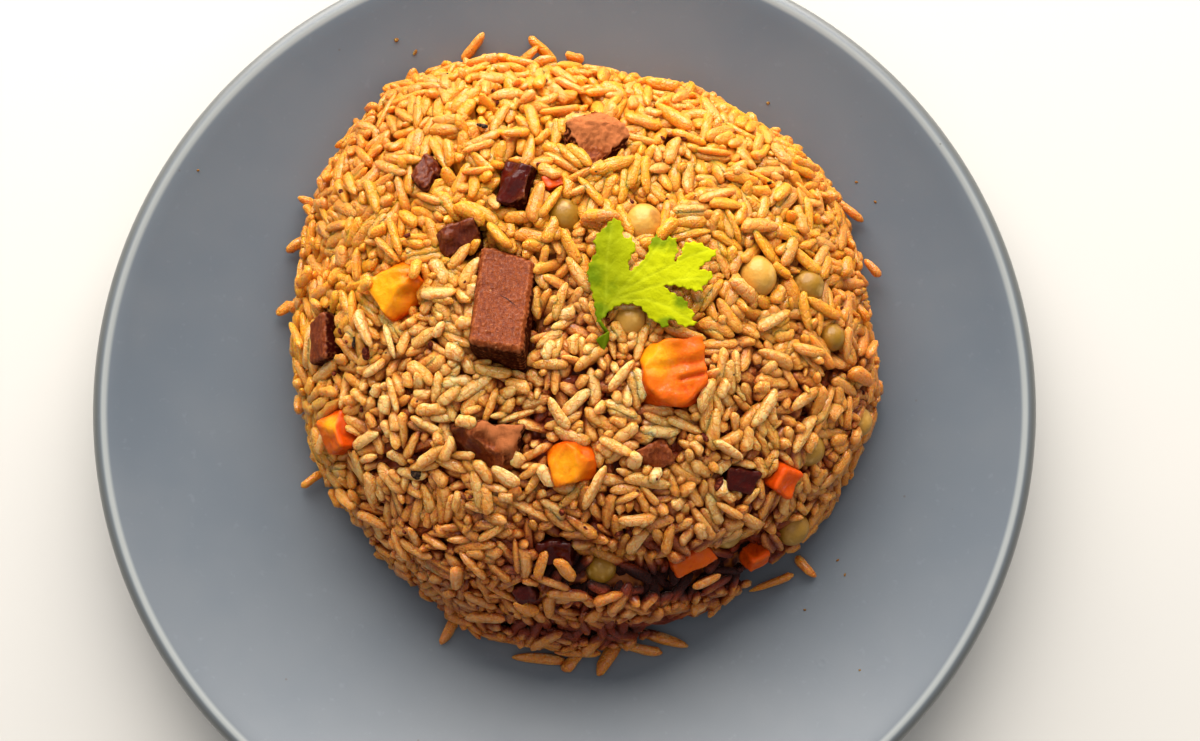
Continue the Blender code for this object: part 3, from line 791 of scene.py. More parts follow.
def pressRice(ends, radius, proud, layer, free):
    span = np.linalg.norm(ends[:, 1] - ends[:, 0], axis=1)
    for turn in range(press["rounds"]):
        if turn % press["pairsEvery"] == 0:
            middle = ends.mean(1)
            first, second = closePairs(middle, span / 2 + radius + press["pairReach"])
            near = [i for i in np.flatnonzero(free)
                    if diceTree.find_nearest(middle[i], span[i] / 2 + press["diceReach"])[0]]
        pushApart(ends, radius, free, first, second)
        for i in near:    # keep clear of the dice
            for share in (0.0, 0.5, 1.0):
                place = ends[i, 0] * (1 - share) + ends[i, 1] * share
                move = clearOf(diceTree, place, radius[i] * press["diceGap"])
                if move:
                    ends[i, 0] += np.array(move) * (1 - share)
                    ends[i, 1] += np.array(move) * share
        keepIn(ends, radius, proud, layer, free)
        middle = ends.mean(1)    # a grain keeps its length
        axis = ends[:, 1] - ends[:, 0]
        axis *= (span / 2 / (np.linalg.norm(axis, axis=1) + 1e-9))[:, None]
        ends = np.stack([middle - axis, middle + axis], 1)
    return ends


grain = {
    "ringRough": 0.03, "sideRough": 0.06, "oval": 0.09, "groove": 0.14, "grooveWidth": 0.5,
    "slantFrom": 0.4, "bendMiddle": 0.4,
}


def unrolled(rings, sides):    # where each corner of a grain's faces lies in a flat picture
    row = []
    for ring in range(rings - 1):
        low, high = (ring + 1) / (rings + 1), (ring + 2) / (rings + 1)
        for i in range(sides):
            row += [(high, i / sides), (high, (i + 1) / sides), (low, (i + 1) / sides), (low, i / sides)]
    for end, ring in ((0.0, 1), (1.0, rings)):
        for i in range(sides):
            pair = [(ring / (rings + 1), i / sides), (ring / (rings + 1), (i + 1) / sides)]
            row += [(end, (i + 0.5) / sides), *(pair if end == 0 else pair[::-1])]
    return row


def grainMesh(name, rings, sides, seed, bend, blunts, taper, slants):
    rng = np.random.default_rng(seed)
    around = 2 * np.pi * np.arange(sides) / sides
    groove = 1 - grain["groove"] * fade(around - np.pi / 2, grain["grooveWidth"])
    points = []
    for t in -np.cos(np.pi * (np.arange(rings) + 0.5) / rings):
        blunt, slant = (row[int(t > 0)] for row in (blunts, slants))
        size = math.sqrt(1 - abs(t) ** blunt) * (1 + taper * t) * (1 + rng.normal(0, grain["ringRough"]))
        size = size * (1 + rng.normal(0, grain["sideRough"], sides))
        size = size * (1 + grain["oval"] * np.cos(2 * around + t))
        y, z = size * np.cos(around), size * np.sin(around) * groove
        x = t + slant * y * max(abs(t) - grain["slantFrom"], 0)
        points += [(a, b + bend * (t * t - grain["bendMiddle"]), c) for a, b, c in zip(x, y, z)]
    tip = bend * (1 - grain["bendMiddle"])
    points += [(-1.0, tip, 0), (1.0, tip, 0)]
    faces = ringFaces(rings, sides) + endFaces(rings, sides, len(points) - 2, len(points) - 1)
    mesh = bpy.data.meshes.new(name)
    mesh.from_pydata(points, [], [tuple(reversed(face)) for face in faces])
    mesh.shade_smooth()
    put(mesh, "along", [p[0] for p in points])
    sheet = mesh.uv_layers.new(name="OFBake")
    sheet.data.foreach_set("uv", np.array(unrolled(rings, sides), np.float32).ravel())
    return bpy.data.objects.new(name, mesh)


# how grains differ: bend, bluntness of each end, taper, slant of each end
habits = (
    (0.12, (3.2, 4.4), 0.08, (0.0, 0.1)), (-0.28, (4.6, 3.0), -0.1, (0.1, 0.0)),
    (0.36, (3.4, 3.8), 0.06, (0.0, 0.0)), (0.08, (2.6, 8.0), 0.14, (0.0, 0.3)),
    (-0.12, (6.0, 3.4), -0.08, (0.3, -0.1)), (0.22, (5.4, 2.8), -0.1, (-0.3, 0.0)),
    (-0.4, (3.2, 3.8), 0.04, (0.0, 0.0)), (0.0, (4.0, 2.4), -0.12, (0.15, 0.0)),
    (0.08, (9.0, 4.0), 0.08, (0.5, 0.0)), (-0.06, (8.0, 12.0), -0.08, (-0.3, 0.5)),
    (0.1, (3.4, 10.0), 0.12, (0.0, -0.6)),
)
wholeHabits = 8    # the rest are broken grains


def grainShapes(name, rings, sides):
    shelf = bpy.data.collections.new(name)
    for i, habit in enumerate(habits):
        shelf.objects.link(grainMesh(f"{name}{i}", rings, sides, i, *habit))
    return shelf


def grainGrowth():    # a grain on every point, laid along its own axes
    g = Growth("grains", {"Shapes": "Collection", "Fatness": "Float", "Finish": "Material"})
    shapes = g.add("GeometryNodeCollectionInfo", None, 0, Collection=g.input("Shapes"),
                   Separate_Children=True, Reset_Children=True)
    turn = g.add("FunctionNodeAxesToRotation", {"primary_axis": "X", "secondary_axis": "Z"}, 0,
                 Primary_Axis=g.named("lie"), Secondary_Axis=g.named("face"))
    fat = g.add("ShaderNodeCombineXYZ", None, 0, X=1.0, Y=g.input("Fatness"), Z=g.input("Fatness"))
    size = g.add("ShaderNodeVectorMath", {"operation": "MULTIPLY"}, 0, _0=g.named("size"), _1=fat)
    points = g.add("GeometryNodeMeshToPoints", None, 0, Mesh=g.input("Geometry"))
    shape = g.add("GeometryNodeInstanceOnPoints", None, 0, Points=points, Instance=shapes,
                  Pick_Instance=True, Instance_Index=g.named("kind", "INT"), Rotation=turn, Scale=size)
    g.end(shape, g.input("Finish"))
    return g


def atlas(mesh, grains):    # every grain gets a cell of the picture
    wide = math.ceil(math.sqrt(grains / 2))
    high = math.ceil(grains / wide)
    layer = mesh.uv_layers["OFBake"]
    uv = np.zeros(len(mesh.loops) * 2, np.float32)
    layer.data.foreach_get("uv", uv)
    margin = 0.04
    uv = uv.reshape(grains, -1, 2) * (1 - 2 * margin) + margin
    cell = np.arange(grains)
    uv[:, :, 0] = (uv[:, :, 0] + (cell % wide)[:, None]) / wide
    uv[:, :, 1] = (uv[:, :, 1] + (cell // wide)[:, None]) / high
    layer.data.foreach_set("uv", uv.ravel())


def touching(points, own, ends, radius, first, second):    # 1 where a grain meets another, fading out
    apart, batch = 9.0, 4000
    gap = np.full(len(points), apart)
    count = len(points) // len(own)
    order = {grain: i for i, grain in enumerate(own)}
    pairs = [(order[i], j) for i, j in zip(first, second) if i in order]
    pairs += [(order[j], i) for i, j in zip(first, second) if j in order]
    pairs = np.array(pairs)
    for start in range(0, len(pairs), batch):
        mine, other = pairs[start:start + batch].T
        rows = mine[:, None] * count + np.arange(count)
        a, d = ends[other, None, 0], (ends[other, 1] - ends[other, 0])[:, None]
        t = np.clip(((points[rows] - a) * d).sum(2) / (d * d).sum(2), 0, 1)
        away = np.linalg.norm(points[rows] - a - d * t[..., None], axis=2) - radius[other, None]
        np.minimum.at(gap, rows.ravel(), away.ravel())
    return np.exp(-np.clip(gap, 0, None) / rice["touchReach"])


def growRice(name, shelf, which, stands=()):
    ends, length, width, stain, tint, kind, roll = [v[which] for v in rods]
    base = meshFrom(name + "Points", ends.mean(1), [])
    axis = ends[:, 1] - ends[:, 0]
    axis /= np.linalg.norm(axis, axis=1, keepdims=True)
    face = heapDistance(ends.mean(1))[1] + rice["roll"] * roll    # the flat side mostly shows
    put(base.data, "lie", axis, "FLOAT_VECTOR")
    put(base.data, "face", face, "FLOAT_VECTOR")
    sizes = np.stack([length / 2, width / 2, width / 2 * rice["squash"]], 1) * mm
    put(base.data, "size", sizes, "FLOAT_VECTOR")
    put(base.data, "stain", stain)
    put(base.data, "tint", tint)
    put(base.data, "kind", kind, "INT")
    piece = grains.run(base, name, Shapes=shelf, Fatness=rice["fatness"], Finish=riceSkin)
    atlas(piece.data, len(ends))
    points = pointsOf(piece.data)
    away, out = heapDistance(points)
    normals = normalsOf(piece.data)
    # painted shade: deep grows below the dome's surface and in the crack, for darker colour there
    put(piece.data, "deep", np.clip((crackAt(points) * rice["crackDeep"] - away) / rice["deepest"], 0, 1))
    put(piece.data, "facing", np.where(away > rice["offDome"], normals[:, 2], (normals * out).sum(1)))
    # painted shade: touch marks where grains meet, for darker colour at the contacts
    put(piece.data, "touch", touching(points, np.flatnonzero(which), rods[0], rods[2] / 2, *ricePairs))
    for spare in ("lie", "face", "size", "kind"):
        if spare in piece.data.attributes:
            piece.data.attributes.remove(piece.data.attributes[spare])
    return settle(piece, riceSkin, stands)


riceLook = {
    "cream": rgb(252, 206, 138), "gold": rgb(244, 186, 60), "tan": rgb(244, 188, 112),
    "amber": rgb(232, 144, 38), "rust": rgb(176, 76, 8), "soaked": rgb(118, 30, 0),
    "amberGap": rgb(226, 142, 30), "speck": rgb(84, 36, 10), "shade": rgb(26, 2, 0),
    "honey": rgb(200, 134, 56), "gilt": rgb(230, 160, 10), "crustAndShade": rgb(166, 90, 24),
    "butter": rgb(222, 136, 28), "chalk": rgb(255, 236, 196), "goldSide": (-30, 45), "goldSlope": 0.012,
    "bands": {    # where on the dome a tone comes in: axis, start, end
        "sunFar": ("y", -5, 45), "sunLeft": ("x", -58, -34), "sunRight": ("x", 8, 30),
        "sunInner": ("y", -10, 20), "rimLeft": ("x", -48, -18), "rimFar": ("y", 34, 70),
        "rimRight": ("x", 34, 72), "rimLow": ("z", 10, 34), "near": ("y", -50, 0),
        "shadeNear": ("y", -52, -8), "shadeRight": ("x", 50, 74), "crustShadeLeft": ("x", -50, -10),
        "crustShadeFar": ("y", 22, 60), "syrupFar": ("y", 25, 75),
    },
}


def riceZones(f):    # how lit, sauced and gold each stretch of the dome is, and where browning and painted shade darken it
    axes = dict(zip("xyz", f.axes()))
    band = {name: axes[axis].ramp(low, high) for name, (axis, low, high) in riceLook["bands"].items()}
    goldX, goldY = riceLook["goldSide"]
    lit = band["sunFar"] + (1 - band["sunLeft"]) * 0.6 + band["sunRight"] * band["sunInner"] * 0.35
    rim = (1 - band["rimLeft"]) * band["rimFar"] * 1.3 + band["rimRight"] * 0.8 + (1 - band["rimLow"]) * 0.5
    return {
        "sunny": lit.ramp(0.0, 1.0), "rim": rim.ramp(0.0, 1.3), "near": 1 - band["near"],
        "gold": ((axes["x"] - goldX) * -1 + (axes["y"] - goldY)) * riceLook["goldSlope"] + 0.5,
        "shadeNearRight": (1 - band["shadeNear"]) * 0.5 + band["shadeRight"] * 0.4,
        "crustAndShade": (1 - band["crustShadeLeft"]) * band["crustShadeFar"] * 0.45, "syrup": band["syrupFar"] * 0.25,
    }


def riceFinish():
    f = Finish("friedRice", IOR=1.42, Specular_IOR_Level=0.4, Coat_Roughness=0.14, Subsurface_Weight=0.8,
               Subsurface_Scale=2.6 * mm, Subsurface_Radius=(1.0, 0.55, 0.25))
    look, zone = riceLook, riceZones(f)
    stain, tint, deep = f.attributes("stain", "tint", "deep")
    along, touch, facing = f.attributes("along", "touch", "facing")
    sunny, rim, near, shadeNearRight = (zone[name] for name in ("sunny", "rim", "near", "shadeNearRight"))
    flank = 1 - facing.ramp(0.1, 0.9)
    # painted shade: edge is high at contacts between grains and in recesses, and also counts grain sides and
    # ends
    edge = flank * 0.55 + touch * 0.45 + deep * 0.9 + (along * along) ** 2.0 * 0.15
    warm = f.paint(look["tan"], (look["gold"], (zone["gold"] + f.noise(14, 1) * 0.6 - 0.3).ramp(0.0, 1.0)))
    warmth = tint * 0.9 + f.noise(2.0, 3, 0.65) * 1.1 + flank * 0.4
    honey = (f.noise(3.0, 3, 0.7) + 0.15).ramp(0.2, 0.6) * (0.7 + tint.ramp(0.1, 0.4) * 0.3)
    gilt = (f.noise(5.0, 3, 0.65) + tint * 0.35 - 0.15).ramp(0.42, 0.58)
    syrup = f.paint(look["amber"], (look["butter"], sunny))
    # near adds painted shade on the near side of the dome to the syrup, rust, gap and shade tones
    blot = f.noise(1.1, 3, 0.7) * 1.1 + stain * 0.35 + near * 0.08 + rim * 0.6 + zone["syrup"]
    streak = f.noise(0.6, 2, 0.7) + stain * 0.2 + near * 0.2 + rim * 0.15 - sunny * 0.45
    crease = 1 - f.cells(1.9, f.warped(0.9, 1.2), "DISTANCE_TO_EDGE").ramp(0.0, 0.12)
    gap = f.paint(look["soaked"], (look["amberGap"], zone["gold"].ramp(-0.2, 0.7)))
    # painted shade: sunk is high in recesses, at contacts and on the near side
    sunk = deep * 1.25 + near * 0.12 + touch * 0.2 + flank * 0.15
    chalk = f.noise(0.8, 3, 0.65).ramp(0.48, 0.62) * (1 - flank)
    chalk = chalk * (1 - stain * 0.7) * (1 - shadeNearRight) * (1 - sunny * 0.8)
    colour = f.paint(look["cream"],
                     (warm, warmth.ramp(0.85, 1.8)),
                     (look["honey"], honey * sunny),
                     (look["gilt"], gilt * sunny * 0.75),
                     (syrup, (edge + blot - 0.55).ramp(0.66, 1.14) * (0.8 - sunny * 0.25)),
                     (look["rust"], (edge + streak - 0.53).ramp(0.95, 1.38) * 0.7),
                     # partly browning, partly painted shade over the far-left top of the dome
                     (look["crustAndShade"], zone["crustAndShade"]),
                     # painted shade: rust over the near and right side of the dome
                     (look["rust"], shadeNearRight),
                     (look["amber"], crease * (0.5 + stain * 0.4)),
                     # painted shade: gap tones and near-black shade in recesses, contacts and the crack
                     (gap, sunk.ramp(0.23, 0.8) * (0.95 - sunny * 0.7)),
                     (look["shade"], (deep + near * 0.15).ramp(0.5, 1.0) * (0.9 - sunny * 0.7)),
                     (look["speck"], f.specks(0.9, 0.07, 0.15, 4.0, 0.48, 0.62) * 0.8),
                     (look["chalk"], chalk * 0.75))
    height = f.noise(0.45, 2, 0.6) * 0.6 + f.noise(1.3, 2, 0.6) * 0.9 - crease * 0.5
    return f.give(Base_Color=colour, Roughness=0.26 + f.noise(1.2, 1) * 0.2 + deep * 0.5,
                  Coat_Weight=f.noise(2.0, 1).ramp(0.4, 0.7) * 0.7 * (1 - deep),
                  Normal=f.bump(height, 0.8, 0.35))


def pressedRice():
    rng = np.random.default_rng(rice["seed"])
    ends, length, width, proud, layer = drawRice(rng)
    strayEnds, strayLength = strayRods()
    more = len(strayEnds)
    ends = np.concatenate([ends, strayEnds])
    length = np.append(length, strayLength)
    width = np.append(width, limited(rng, *rice["width"], more))
    proud = np.append(proud, np.zeros(more))
    layer = np.append(layer, np.full(more, 3))
    clear = np.array([not insideDice(p) for p in ends.mean(1)])
    clear &= ~((crackAt(ends.mean(1)) > rice["crackFrom"]) & (rng.random(len(ends)) < rice["crackShare"]))
    clear |= layer == 3
    ends, length, width, proud, layer = (v[clear] for v in (ends, length, width, proud, layer))
    free = (layer < 3).astype(float)
    ends = pressRice(ends, width / 2 * rice["softness"], proud, layer, free)
    shares = np.linspace(0, 1, rice["probes"])
    clear = np.array([not any(insideDice(a * (1 - s) + b * s) for s in shares) for a, b in ends])
    clear |= layer == 3
    print("grains kept:", int(clear.sum()), "of", len(clear))
    ends, length, width, layer = (v[clear] for v in (ends, length, width, layer))
    count = len(ends)
    middle = ends.mean(1)
    zone = 0.5 + sum(gain * noiseAt(middle, size, shift) for gain, size, shift in rice["stainPatches"])
    stain = np.clip(zone + rng.normal(0, rice["stainSpread"], count), 0, 1)
    stain[layer == 3] = [row[-1] for row in strays + perched]
    tint = rng.random(count)
    kind = rng.integers(0, wholeHabits, count)
    kind = np.where(length < rice["broken"][1], rng.integers(wholeHabits, len(habits), count), kind)
    roll = rng.normal(size=(count, 3))
    return [ends, length, width, stain, tint, kind, roll], layer


def insideDice(point):
    hit, normal, _, _ = diceTree.find_nearest(point, rice["diceSearch"])
    return hit is not None and (Vector(point) - hit).dot(normal) < -rice["insideDice"]


rods, riceLayer = pressedRice()
ricePairs = closePairs(rods[0].mean(1), rods[1] / 2)
grains = grainGrowth()
riceSkin = riceFinish()
fineGrains = grainShapes("grain", rice["rings"], rice["sides"])
plainGrains = grainShapes("plainGrain", rice["plainRings"], rice["plainSides"])
whole = rods[5] < wholeHabits
outerRice = growRice("rice_outer", fineGrains, (riceLayer == 0) & whole, ["rice_heap"])
brokenRice = growRice("rice_broken", fineGrains, (riceLayer == 0) & ~whole)
growRice("rice_under", plainGrains, riceLayer == 1)
growRice("rice_bits", plainGrains, riceLayer == 2)
growRice("rice_stray", fineGrains, riceLayer == 3)
print("rice pressed and laid")


core = {
    "depth": 4.6, "azimuths": 200, "climbs": 64, "relief": 0.8, "reliefSize": 3.2, "clearance": 0.5,
    "hollowing": 8, "hollowStep": 0.8, "offDish": 0.3, "footInset": 0.97, "footGap": 0.15, "lump": 2.6,
    "low": rgb(110, 36, 4), "high": rgb(188, 98, 24),
}


def makeCore():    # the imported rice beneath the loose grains, hollowed out round each dice
    azimuths = np.linspace(-np.pi, np.pi, core["azimuths"], endpoint=False)
    climbs = np.linspace(0.0, np.pi / 2, core["climbs"] + 1)[:-1]
    a, c = (v.ravel() for v in np.meshgrid(azimuths, climbs))
    depth = core["depth"] + core["relief"] * noiseAt(heapPoint(a, c), core["reliefSize"], 2.0)
    for _ in range(core["hollowing"]):
        points = heapPoint(a, c, depth)
        near = [diceTree.find_nearest(p, core["clearance"])[0] is not None or insideDice(p) for p in points]
        depth = depth + np.array(near) * core["hollowStep"]

    def overDish(spots, gap):
        return dishLevel(np.hypot(spots[:, 0], spots[:, 1])) + gap
    points[:, 2] = np.maximum(points[:, 2], overDish(points, core["offDish"]))
    foot = points[:core["azimuths"]].copy()
    foot[:, :2] = heap["place"] + (foot[:, :2] - heap["place"]) * core["footInset"]
    middle = np.array([[*heap["place"], 0.0]])
    for ring in (foot, middle):
        ring[:, 2] = overDish(ring, core["footGap"])
    apex = heapPoint(np.array([0.0]), np.array([np.pi / 2 - 1e-4]), core["depth"])
    points = np.concatenate([foot, points, middle, apex])
    count, rings = core["azimuths"], core["climbs"] + 1
    faces = ringFaces(rings, count) + endFaces(rings, count, len(points) - 2, len(points) - 1)
    # painted shade: the core is dark red-brown so that where it shows between grains it looks like grains in
    # shadow
    f = Finish("soakedRice", Roughness=0.55)
    lumps = f.cells(core["lump"])
    share = lumps.ramp(0.15, 0.6) * 0.6 + f.noise(1.5, 2) * 0.5
    colour = f.paint(core["low"], (core["high"], share.ramp(0.4, 0.9)))
    f.give(Base_Color=colour, Normal=f.bump(lumps, 0.8, 0.9))
    settle(meshFrom("rice_core", points, faces), f.material)


makeCore()
print("core made")


dice = {    # what meat and carrot share
    "weld": 0.001, "smooth": 0.5, "shrink": 0.3, "sideFrom": 1.25, "sideFade": 1.6, "neighbours": 9,
    "wornDepth": 0.06, "litMost": 0.6,
}


meat = {
    "voxel": 0.36, "dent": 0.75, "dentSize": 3.0, "grit": 0.16, "gritSize": 0.8, "soften": 2, "grooves": {},
    "flatter": {"meat_large": 0.4, "meat_side_left": 0.4, "meat_front": 1.7},    # share of the dents
    "rougher": {"meat_back": 2.4, "meat_small_left": 1.6},    # share of the grit
    "lit": {    # which way a dice grows paler, and how much for each millimetre
        "meat_front": ((0.7, 0.7), 0.22), "meat_dark_mid": ((0.8, -0.6), 0.1),
        "meat_back": ((0.1, 1.0), 0.16),
    },
    "shade": {    # from browned to nearly black; below 0 paler, which for meat_back is painted light
        "meat_large": 0.1, "meat_back": -0.4, "meat_front": 0.0, "meat_dark_mid": 0.9,
        "meat_dark_left": 0.6, "meat_small_left": 0.6, "meat_side_left": 0.45, "meat_small_front": 0.35,
    },
    "otherShade": 0.9, "pale": rgb(192, 112, 64), "browned": rgb(140, 66, 26), "cut": rgb(104, 42, 18),
    "dark": rgb(74, 12, 4), "wetAndShaded": rgb(44, 3, 1), "fat": rgb(206, 138, 88),
    "slit": ((-13.0, 19.2), (-9.6, 16.7)), "slitTop": (54, 55),
}
carrot = {
    "voxel": 0.4, "dent": 0.6, "dentSize": 3.0, "grit": 0.1, "gritSize": 1.0, "soften": 3,
    "flatter": {}, "rougher": {},
    "lit": {"carrot_large": ((-0.5, 0.8), 0.05), "carrot_left": ((0.2, 1.0), 0.06)},
    "grooves": {    # ends, half width, depth
        "carrot_large": (((16.0, 3.4), (31.0, 5.9), 1.1, 0.5), ((25.0, 1.8), (31.0, 3.2), 0.5, 0.8),
                         ((17.2, -2.6), (17.8, -2.4), 0.5, 0.6), ((18.0, -0.4), (24.0, -1.6), 1.4, -0.4)),
        "carrot_left": (((-33.0, 24.0), (-28.0, 21.5), 0.9, 0.6),),
        "carrot_front": (((3.0, -10.0), (2.6, -21.0), 1.0, -0.5),),
    },
    "hearts": {    # where the paler heart of the root shows: place and reach
        "carrot_left": (-38.4, 20.6, 6.5), "carrot_large": (19.6, 6.4, 4.2),
        "carrot_front": (0.6, -16.4, 4.0), "carrot_side_left": (-50.0, -6.0, 2.0),
    },
    "noHeart": (0, 0, 0.1),
    "shade": {
        "carrot_crack": 0.45, "carrot_low": 0.5, "carrot_right": 0.65, "carrot_side_left": 0.3,
        "carrot_large": 0.12, "carrot_front": 0.2, "carrot_back": 0.95,
    },
    "otherShade": 0.0, "flesh": rgb(216, 100, 2), "deep": rgb(206, 72, 0), "heart": rgb(238, 150, 10),
    "scorchAndShade": rgb(142, 26, 2),
}


def dieFrom(node, look, seed):    # the CAD block with cooked, dented faces
    mesh = node.data.copy()
    mesh.name = node.name + "_cooked"
    rework(mesh, lambda body: bmesh.ops.remove_doubles(body, verts=body.verts[:], dist=dice["weld"] * mm))
    die = bpy.data.objects.new(mesh.name, mesh)
    scene.collection.objects.link(die)
    remesh = die.modifiers.new("voxels", "REMESH")
    remesh.mode = "VOXEL"
    remesh.voxel_size = look["voxel"] * mm
    fine = evaluated(die)
    die.modifiers.clear()
    die.data = fine

    def soften(body):
        for _ in range(look["soften"]):
            bmesh.ops.smooth_vert(body, verts=body.verts[:], factor=dice["smooth"],
                                  use_axis_x=True, use_axis_y=True, use_axis_z=True)
    rework(fine, soften)
    points, normals = pointsOf(fine), normalsOf(fine)
    dent = look["dent"] * look["flatter"].get(node.name, 1.0)
    push = dent * noiseAt(points, look["dentSize"], seed) - dice["shrink"] * dent
    push += look["grit"] * look["rougher"].get(node.name, 1.0) * noiseAt(points, look["gritSize"], seed)
    for first, last, halfWidth, depth in look["grooves"].get(node.name, ()):
        groove = fade(fromLine(points[:, :2], first, last), halfWidth)
        push -= depth * groove * np.clip(normals[:, 2], 0, 1)
    setPoints(fine, points + normals * push[:, None])
    _, out = heapDistance(points)
    top = (normals * out).sum(1)
    put(fine, "side", np.clip(dice["sideFrom"] - dice["sideFade"] * top, 0, 1))    # 0 where it faces out; the sides it marks get painted shade
    return die


def slitShare(f):    # where a dice of meat has split open
    (ax, ay), (bx, by) = meat["slit"]
    reach = math.hypot(bx - ax, by - ay)
    ux, uy = (bx - ax) / reach, (by - ay) / reach
    x, y, z = f.axes()
    along = (x - ax) * ux + (y - ay) * uy
    across = (x - ax) * uy - (y - ay) * ux + (f.noise(2.5, 1) - 0.5) * 0.8
    slit = along.ramp(-0.2, 1.0) * (1 - along.ramp(reach - 1.2, reach + 0.2)) * z.ramp(*meat["slitTop"])
    return slit * (1 - (across * across).ramp(0.001, 0.016))


def meatFinish():
    f = Finish("cornedBeef", IOR=1.4, Specular_IOR_Level=0.03, Coat_Roughness=0.16)
    shade, ridge, side, edge = f.attributes("shade", "ridge", "side", "edge")
    thread = f.noise(0.7, 3, 0.7, f.stretch((1, 0.3, 1), (0, 0, 0.5)), 0.5)
    grit = f.noise(0.22, 2, 0.7)
    slit = slitShare(f)
    # painted shade: darker on the sides turned from the heap's outside and in dents, partly the meat's own
    # wet dark red
    wetAndShaded = side * 0.9 + ridge * 0.3 + f.noise(2.0, 2) * 0.3
    colour = f.paint(meat["cut"],
                     (meat["browned"], (thread * 0.7 + grit * 0.5).ramp(0.42, 0.74)),
                     (meat["pale"], (shade * -1.0 + f.noise(2.2, 2) * 0.3).ramp(0.1, 0.6) * 0.9),
                     (meat["dark"], (shade * 1.1 + f.noise(3.0, 2) * 0.4).ramp(0.5, 1.1)),
                     (meat["wetAndShaded"], wetAndShaded.ramp(0.3, 0.8) * 0.95),
                     # paler along convex edges: partly browned edges, partly painted highlight
                     (meat["pale"], edge.ramp(0.2, 1.0) * (1 - shade) * 0.5),
                     (meat["fat"], f.specks(2.4, 0.06, 0.14, 5, 0.5, 0.6) * (1 - side) * (1 - shade) * 0.8),
                     # painted shade in the slit where the meat has split
                     (meat["wetAndShaded"], slit * 0.9))
    gloss = (f.noise(0.35, 1).ramp(0.5, 0.7) * 0.3 + 0.04 + shade * 0.3) * (1 - side * 0.9)
    height = thread * 0.9 + grit * 0.8 - slit * 1.5
    return f.give(Base_Color=colour, Roughness=0.42 + f.noise(0.6, 2) * 0.25 - shade * 0.12,
                  Coat_Weight=gloss, Normal=f.bump(height, 1.0, 0.35))


def carrotFinish():
    f = Finish("cookedCarrot", IOR=1.4, Specular_IOR_Level=0.2, Coat_Roughness=0.15, Subsurface_Weight=0.3,
               Subsurface_Scale=1.5 * mm, Subsurface_Radius=(1.0, 0.4, 0.1))
    shade, side, ridge, heart = f.attributes("shade", "side", "ridge", "heart")
    # painted shade: deeper orange and scorch on the sides, in dents and on pieces in shade, over the
    # carrot's own patchy colour
    deep = shade * 0.8 + side * 0.6 + f.noise(3.0, 2) * 0.45 + ridge * 0.4 - heart * 0.35
    scorchAndShade = f.noise(2.4, 2) * 0.4 + shade * 0.45 + side * 0.3 + ridge * 0.25 - heart * 0.2
    colour = f.paint(carrot["flesh"],
                     (carrot["heart"], (heart + f.noise(2.0, 2) * 0.3 - 0.15).ramp(0.1, 0.9)),
                     (carrot["deep"], deep.ramp(0.25, 0.9)),
                     (carrot["scorchAndShade"], scorchAndShade.ramp(0.6, 1.1)))
    height = f.noise(0.4, 2, 0.6) * 0.4 + f.noise(0.8, 2, 0.6) * 0.7 + f.noise(2.2, 1)
    return f.give(Base_Color=colour, Roughness=0.34 + f.noise(1.6, 1) * 0.2,
                  Coat_Weight=f.noise(1.2, 1).ramp(0.5, 0.7) * 0.4, Normal=f.bump(height, 0.4, 0.3))


def edgeWear(mesh):    # up to 1 in dents, down to -1 on edges, from how the normals turn
    tree = kdtree.KDTree(len(mesh.vertices))
    points, normals = pointsOf(mesh), normalsOf(mesh)
    for i, point in enumerate(points):
        tree.insert(point, i)
    tree.balance()
    hollow = np.zeros(len(points))
    for i, point in enumerate(points):
        others = [j for _, j, _ in tree.find_n(point, dice["neighbours"])]
        hollow[i] = ((points[others] - point) @ normals[i]).mean()
    return np.clip(hollow / dice["wornDepth"], -1, 1)


def makeDice():
    looks = {"meat": (meat, meatFinish()), "carrot": (carrot, carrotFinish())}
    for seed, node in enumerate(diceNodes):
        family = node.name.split("_")[0]
        if family not in looks:
            continue
        look, skin = looks[family]
        die = dieFrom(node, look, float(seed))
        spots = pointsOf(die.data)[:, :2]
        if family == "carrot":
            x, y, reach = carrot["hearts"].get(node.name, carrot["noHeart"])
            put(die.data, "heart", fade(np.hypot(*(spots - (x, y)).T), reach))
        way, gain = look["lit"].get(node.name, ((0, 0), 0.0))
        lit = (spots - spots.mean(0)) @ way * gain
        shade = look["shade"].get(node.name, look["otherShade"])
        put(die.data, "shade", shade - np.clip(lit, -dice["litMost"], dice["litMost"]))
        wear = edgeWear(die.data)
        put(die.data, "ridge", np.maximum(wear, 0))
        put(die.data, "edge", np.maximum(-wear, 0))
        settle(die, skin, [node.name])


makeDice()
print("meat and carrot diced")


pea = {
    "around": 40, "up": 28, "dent": 0.16, "dentSize": 0.9, "wrinkle": 0.035, "wrinkleSize": 0.22,
    "scar": 0.05, "scarReach": 0.02, "inset": 0.4, "turns": (1.3, 0.7), "underFrom": 0.75,
    "skin": rgb(206, 150, 60), "olive": rgb(142, 100, 16), "brown": rgb(140, 82, 26),
    "pale": rgb(230, 186, 104),
    "green": {
        "pea_back_left": 0.8, "pea_back": 0.1, "pea_right": 0.15, "pea_side_right": 0.7,
        "pea_crack_right": 0.7, "pea_low_right": 0.6, "pea_crack_front": 0.8, "pea_far_right": 0.8,
        "pea_small_right": 0.9,
    },
    "otherGreen": 0.4,
}


